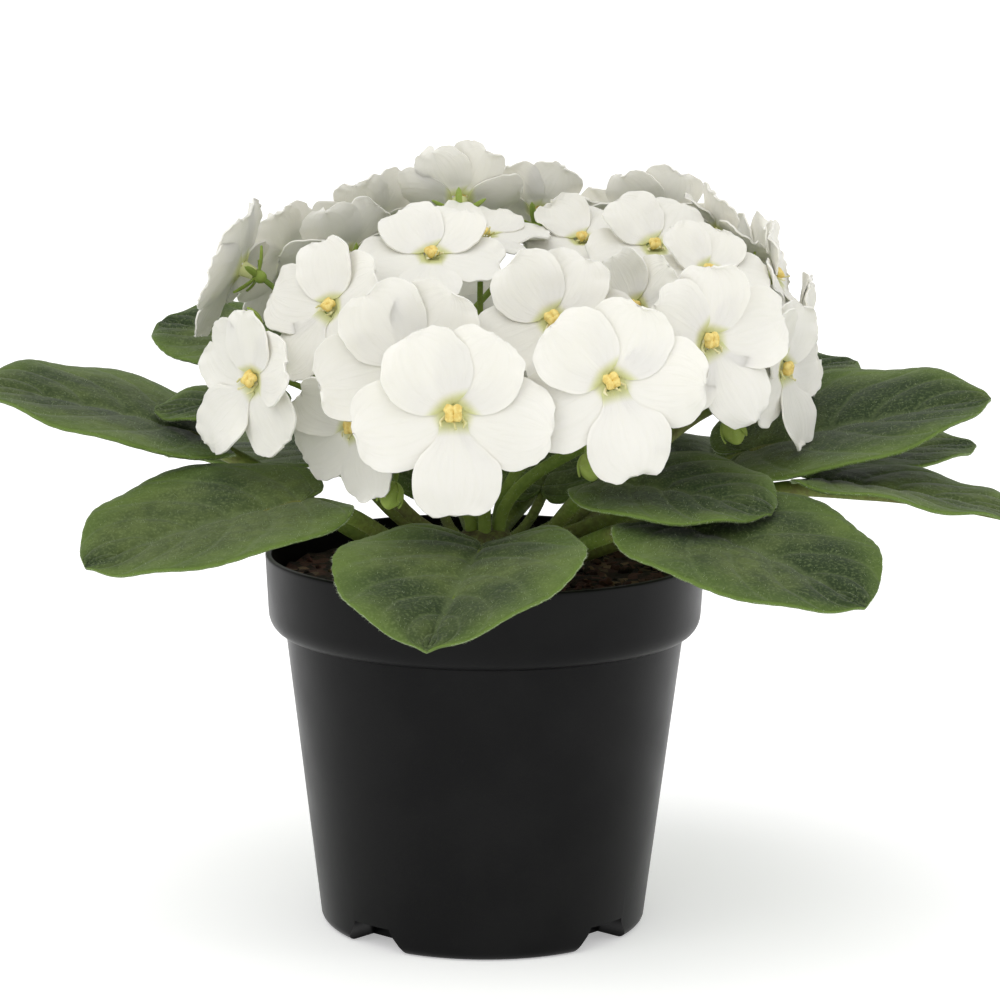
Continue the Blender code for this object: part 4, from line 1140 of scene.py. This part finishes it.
def make_stalk(name, stalk, places, trees, leaf_trees, models, hair, seed, finishes):
    foot = direction(stalk.foot_azimuth) * PEDUNCLE_FOOT_RADIUS + TOP * (CROWN_TOP_Z - GAP * 3)
    knot = Vector(stalk.knot)
    everything = leaf_trees + list(trees.values())
    route = stem_route(foot, TOP, knot, (knot - foot).normalized(), PEDUNCLE_RADIUS, everything)
    pieces = [new_stem("peduncle", route, [PEDUNCLE_RADIUS] * len(route), 4)]
    ball = new_primitive("uv_sphere", segments=14, ring_count=10, radius=KNOT_RADIUS)
    ball.data.transform(Matrix.Translation(knot))
    pieces.append(ball)
    cups = []
    ends = []
    for number in stalk.blooms:
        bloom_name = f"bloom_{number:02}"
        place = places[bloom_name]
        facing = place.to_3x3() @ TOP
        end = place @ Vector((0, 0, -CALYX_SEAT))
        others = leaf_trees + [tree for key, tree in trees.items() if key != bloom_name]
        ends.append((end, facing, others))
        cups.append(copy_of(models["calyx"], "calyx", place))
    for place, azimuth, elevation in stalk.buds:
        axis = direction(azimuth, elevation)
        turn = TOP.rotation_difference(axis).to_matrix().to_4x4()
        cups.append(copy_of(models["bud"], "bud", Matrix.Translation(place) @ turn))
        ends.append((Vector(place) - axis * BUD_RADIUS, axis, everything))
    for end, facing, others in ends:
        route = stem_route(knot, (end - knot).normalized(), end, facing, PEDICEL_RADIUS, others)
        radii = [PEDICEL_RADIUS * (1.15 - 0.35 * i / STEM_STEPS) for i in range(STEM_STEPS + 1)]
        pieces.append(new_stem("pedicel", route, radii, 3))
    for side in BRACT_TURNS:
        turn = Matrix.Rotation(math.radians(stalk.foot_azimuth + side), 4, "Z")
        lean = Matrix.Rotation(math.radians(BRACT_LEAN), 4, "X")
        pieces.append(copy_of(models["sepal"], "bract", Matrix.Translation(knot) @ turn @ lean))
    piece = fuse(name + "_stems", pieces)
    smooth_by_angle(piece, SMOOTH_ANGLE)
    dress(piece, finishes["stalk"], name)
    calyces = fuse(name + "_calyces", cups)
    smooth_by_angle(calyces, SMOOTH_ANGLE)
    dress(calyces, finishes["calyx"], name)
    draw = np.random.default_rng(500 + seed)
    stem_spots, stem_growing = surface_spots(piece, STALK_HAIRS, draw)
    cup_spots, cup_growing = surface_spots(calyces, CALYX_HAIRS, draw)
    spots = np.concatenate((stem_spots, cup_spots))
    growing = np.concatenate((stem_growing, cup_growing))
    coat(name + "_hairs", hair, spots, growing, STEM_HAIR_LENGTH, draw, finishes["hair"])
    return piece


def make_stalks(places, hair, finishes):
    trees = {name: tree_of(bpy.data.objects[name]) for name in BLOOMS}
    leaf_trees = [tree_of(bpy.data.objects[name]) for name in LEAVES]
    sepal = model_sepal()
    models = {"sepal": sepal, "calyx": model_calyx(sepal), "bud": model_bud()}
    for seed, (name, stalk) in enumerate(STALKS.items()):
        piece = make_stalk(name, stalk, places, trees, leaf_trees, models, hair, seed, finishes)
        leaf_trees.append(tree_of(piece))
    for model in models.values():
        discard(model)


# Pot, soil and crown

def arch_block(azimuth, grow):
    # The block that hollows out one arch, grown on every side by a wall
    inner = ARCH_INNER_RADIUS - grow
    outer = ARCH_INNER_RADIUS + POT_FOOT_RADIUS
    foot = ARCH_FOOT_HALF_WIDTH + grow
    bpy.ops.mesh.primitive_plane_add(size=1, location=(0, -(inner + outer) / 2, -POT_WALL))
    block = bpy.context.object
    block.scale = (2 * foot, outer - inner, 1)
    settle_place(block)
    open_mesh(block)
    rise = POT_WALL
    half = foot
    for i in range(ARCH_STEPS + 1):
        t = i / ARCH_STEPS
        widening = (ARCH_ROOF_HALF_WIDTH - ARCH_FOOT_HALF_WIDTH) * ease(t, 0, 1)
        next_half = ARCH_FOOT_HALF_WIDTH + widening + grow
        bpy.ops.mesh.extrude_region_move(TRANSFORM_OT_translate={"value": (0, 0, rise)})
        bpy.ops.transform.resize(value=(next_half / half, 1, 1), center_override=(0, 0, 0))
        rise = (ARCH_HEIGHT + grow) / ARCH_STEPS
        half = next_half
    put_down()
    close_seams(block)
    block.data.transform(Matrix.Rotation(math.radians(azimuth), 4, "Z"))
    return block


def drain_pin(azimuth):
    place = direction(azimuth) * DRAIN_CENTRE_RADIUS + TOP * (ARCH_HEIGHT + POT_WALL / 2)
    return new_primitive("cylinder", vertices=28, radius=DRAIN_RADIUS, depth=4 * POT_WALL, location=place)


def pot_outside():
    # From the middle of the underside up the wall, shoulder and collar to the rim
    collar_z = POT_HEIGHT - POT_COLLAR_HEIGHT
    corner = POT_FOOT_RADIUS - POT_FOOT_ROUND
    profile = [(POT_CENTRE_RADIUS, 0.0), (2 * POT_CENTRE_RADIUS, 0.0)]
    for i in range(7):
        turn = math.radians(90 - 15 * i)
        profile.append((corner + POT_FOOT_ROUND * math.cos(turn), POT_FOOT_ROUND * (1 - math.sin(turn))))
    for share in (0.3, 0.6, 0.97):
        radius = POT_FOOT_RADIUS + (POT_CREASE_RADIUS - POT_FOOT_RADIUS) * share
        profile.append((radius, POT_FOOT_ROUND + (POT_CREASE_Z - POT_FOOT_ROUND) * share))
    for i in range(8):
        turn = math.radians(90 - 90 * i / 7)
        radius = POT_CREASE_RADIUS + (POT_COLLAR_RADIUS - POT_CREASE_RADIUS) * math.cos(turn)
        profile.append((radius, collar_z - (collar_z - POT_CREASE_Z) * math.sin(turn)))
    profile.append((POT_COLLAR_RADIUS + 0.00003, collar_z + 0.0004))
    profile.append((POT_RIM_RADIUS - 0.00005, POT_HEIGHT - 0.0012))
    for i in range(4):
        turn = math.radians(30 * i)
        profile.append((POT_RIM_RADIUS - POT_RIM_ROUND * (1 - math.cos(turn)),
                        POT_HEIGHT - POT_RIM_ROUND * (1 - math.sin(turn))))
    return profile


def make_pot(finish):
    above = POT_HEIGHT + POT_WALL
    collar_z = POT_HEIGHT - POT_COLLAR_HEIGHT
    inside = [
        (POT_CENTRE_RADIUS, POT_WALL), (POT_FOOT_RADIUS - POT_FOOT_ROUND, POT_WALL),
        (POT_FOOT_RADIUS - POT_WALL, POT_FOOT_ROUND), (POT_CREASE_RADIUS - POT_WALL, POT_CREASE_Z),
        (POT_COLLAR_RADIUS - POT_WALL, collar_z), (POT_RIM_RADIUS - POT_WALL - 0.0002, POT_HEIGHT - 0.0003),
        (POT_RIM_RADIUS - POT_WALL + 0.0001, POT_HEIGHT), (POT_RIM_RADIUS - POT_WALL + 0.0001, above),
    ]
    hollow = turned("hollow", inside, POT_SIDES)
    cut(hollow, [arch_block(azimuth, POT_WALL) for azimuth in ARCH_AZIMUTHS])
    pot = turned("pot_moulding", pot_outside(), POT_SIDES)
    cut(pot, [hollow])
    cut(pot, [arch_block(azimuth, 0.0) for azimuth in ARCH_AZIMUTHS])
    cut(pot, [drain_pin(azimuth) for azimuth in ARCH_AZIMUTHS])
    close_seams(pot)
    smooth_by_angle(pot, POT_SMOOTH_ANGLE)
    dress(pot, finish, "pot")


def make_soil(finish):
    # The CAD soil under a loose top of lumps, with crumbs and bark bits strewn over it
    body = bpy.data.objects["soil"]
    for slot in body.material_slots:
        slot.material = finish
    hole = CROWN_RADIUS - 0.0006
    edge = POT_COLLAR_RADIUS - POT_WALL - 0.0001
    profile = [(hole, SOIL_LEVEL - 0.002)]
    for i in range(SOIL_RINGS + 1):
        profile.append((hole + (edge - hole) * i / SOIL_RINGS, SOIL_LEVEL))
    profile.append((edge, SOIL_LEVEL - 0.002))
    top = turned("soil_top", profile, SOIL_SIDES)
    for vertex in top.data.vertices:
        if vertex.co.z > SOIL_LEVEL - 0.0005:
            flat = Vector((vertex.co.x, vertex.co.y, 0.0))
            lumps = sum(noise.noise(flat * pace) * rise for pace, rise in SOIL_WAVES)
            vertex.co.z += SOIL_LUMP * 0.9 + lumps
    smooth(top)
    dress(top, finish)
    scatter_crumbs(finish, hole, edge)


def scatter_crumbs(finish, hole, edge):
    draw = Random(77)
    kinds = []
    for kind in range(CRUMB_KINDS):
        crumb = new_primitive("ico_sphere", subdivisions=2 if kind == 0 else 1, radius=1)
        for vertex in crumb.data.vertices:
            vertex.co *= 1 + 0.5 * noise.noise(vertex.co * 1.4 + Vector((kind * 7.0, 0, 0)))
        kinds.append(crumb)
    copies = []
    for i in range(CRUMB_COUNT):
        crumb = kinds[i % CRUMB_KINDS]
        radius = math.sqrt(draw.uniform((hole + 0.001) ** 2, (edge - 0.0018) ** 2))
        size = draw.uniform(*(CRUMB_SIZES if i % LARGE_CRUMB_EVERY else LARGE_CRUMB_SIZES))
        stretch = [size * draw.uniform(*span) for span in CRUMB_STRETCH]
        place = direction(draw.uniform(0, 360)) * radius + TOP * (SOIL_LEVEL + 0.0012)
        spin = Matrix.Rotation(draw.uniform(0, math.tau), 4, "Z")
        spin = spin @ Matrix.Rotation(draw.uniform(-CRUMB_TIP, CRUMB_TIP), 4, "X")
        seat = Matrix.Translation(place) @ spin @ Matrix.Diagonal((*stretch, 1))
        copies.append(copy_of(crumb, "crumb", seat))
    crumbs = fuse("soil_crumbs", copies)
    for crumb in kinds:
        discard(crumb)
    dress(crumbs, finish)


def make_crown(finish):
    profile = [
        (0.001, CROWN_BURIED_Z), (CROWN_NECK_RADIUS, CROWN_BURIED_Z + 0.0005),
        (CROWN_NECK_RADIUS, SOIL_LEVEL), (CROWN_RADIUS - 0.0004, LOWER_RING_Z - 0.0012),
        (CROWN_RADIUS, LOWER_RING_Z), (CROWN_RADIUS - 0.0003, (LOWER_RING_Z + UPPER_RING_Z) / 2),
        (CROWN_RADIUS, UPPER_RING_Z), (CROWN_RADIUS - 0.0006, UPPER_RING_Z + 0.0018),
        (CROWN_TOP_RADIUS, CROWN_TOP_Z - 0.0006), (CROWN_TOP_RADIUS - 0.0012, CROWN_TOP_Z),
        (0.001, CROWN_TOP_Z),
    ]
    crown = turned("crown_stem", profile, CROWN_SIDES)
    shape_with(crown, "SUBSURF", levels=1, render_levels=1)
    for vertex in crown.data.vertices:
        vertex.co += vertex.normal * noise.noise(vertex.co * 400) * 0.0004
    smooth(crown)
    dress(crown, finish, "crown")


# Studio

CAMERA_PLACE = (0.0036, -0.9, 0.2627)
CAMERA_PITCH = 9.79
CAMERA_ROLL = 0.46
CAMERA_LENS = 131.6
ROOM_BRIGHTNESS = 0.58
OVERHEAD_STRENGTH = 1.35
OVERHEAD_SPREAD = 75
OVERHEAD_AIM = (0.25, 0.45, -1.0)
FLOOR_GLOW = 0.36
FLOOR_RADIUS = 9
FLOOR_WHITE = (0.96, 0.96, 0.96, 1.0)
PURE_WHITE = (1.0, 1.0, 1.0, 1.0)
SOFTBOX_AIM = (0.0, 0.0, 0.11)
SOFTBOXES = (
    ("softbox right", (0.95, -0.25, 0.40), (0.30, 0.9), 1.2),
    ("softbox left", (-0.85, -0.65, 0.55), (0.5, 0.9), 0.8),
    ("softbox front", (-0.05, -1.7, 0.45), (0.5, 1.0), 0.8),
)


def set_camera():
    camera = bpy.data.cameras.new("photo view")
    camera.lens = CAMERA_LENS
    camera.sensor_width = 36
    camera.clip_end = 100
    stand = bpy.data.objects.new("photo view", camera)
    bpy.context.scene.collection.objects.link(stand)
    level = Matrix.Rotation(math.radians(90 - CAMERA_PITCH), 4, "X")
    roll = Matrix.Rotation(math.radians(CAMERA_ROLL), 4, "Z")
    stand.matrix_world = Matrix.Translation(CAMERA_PLACE) @ level @ roll
    bpy.context.scene.camera = stand


def add_softbox(name, place, size, watts):
    light = bpy.data.lights.new(name, "AREA")
    light.shape = "RECTANGLE"
    light.size, light.size_y = size
    light.energy = watts
    stand = bpy.data.objects.new(name, light)
    bpy.context.scene.collection.objects.link(stand)
    facing = (Vector(SOFTBOX_AIM) - Vector(place)).to_track_quat("-Z", "Y")
    stand.matrix_world = Matrix.Translation(place) @ facing.to_matrix().to_4x4()


def add_overhead():
    # An even wide light from above, a little to the left and the front
    light = bpy.data.lights.new("overhead", "SUN")
    light.angle = math.radians(OVERHEAD_SPREAD)
    light.energy = OVERHEAD_STRENGTH
    stand = bpy.data.objects.new("overhead", light)
    bpy.context.scene.collection.objects.link(stand)
    facing = Vector(OVERHEAD_AIM).to_track_quat("-Z", "Y")
    stand.matrix_world = facing.to_matrix().to_4x4()


def set_studio():
    world = bpy.data.worlds.new("white room")
    world.use_nodes = True
    background = world.node_tree.nodes["Background"]
    background.inputs["Color"].default_value = PURE_WHITE
    background.inputs["Strength"].default_value = ROOM_BRIGHTNESS
    bpy.context.scene.world = world
    bpy.context.scene.view_settings.view_transform = "Standard"
    add_overhead()
    for softbox in SOFTBOXES:
        add_softbox(*softbox)
    floor = new_primitive("circle", vertices=64, radius=FLOOR_RADIUS, fill_type="NGON")
    floor.name = "floor"
    sockets = (("Base Color", FLOOR_WHITE), ("Emission Color", PURE_WHITE),
               ("Emission Strength", FLOOR_GLOW), ("Specular IOR Level", 0.0))
    floor.data.materials.append(new_finish("white floor", 0.9, sockets)[0])


finishes = {
    "leaf": leaf_finish(),
    "petiole": stem_finish("leaf stem", STEM_TAN, STEM_GREEN),
    "stalk": stem_finish("flower stem", STEM_GREEN, STEM_BRIGHT),
    "calyx": stem_finish("calyx green", STEM_BRIGHT, BUD_GREEN),
    "crown": stem_finish("hairy crown", STEM_TAN, CROWN_BROWN),
    "hair": plain_finish("leaf hairs", HAIR_WHITE, HAIR_GREEN, 300.0, 0.6),
    "petal": petal_finish(),
    "anther": plain_finish("pollen yellow", ANTHER_YELLOW, ANTHER_AMBER, 900.0, 0.7),
    "filament": plain_finish("pale filament", FILAMENT_PALE, FILAMENT_GREEN, 500.0, 0.5),
}
one_hair = model_hair()
make_leaves(one_hair, finishes)
bloom_places = make_blooms(finishes)
make_stalks(bloom_places, one_hair, finishes)
make_pot(pot_finish())
make_soil(soil_finish())
make_crown(finishes["crown"])
set_camera()
set_studio()
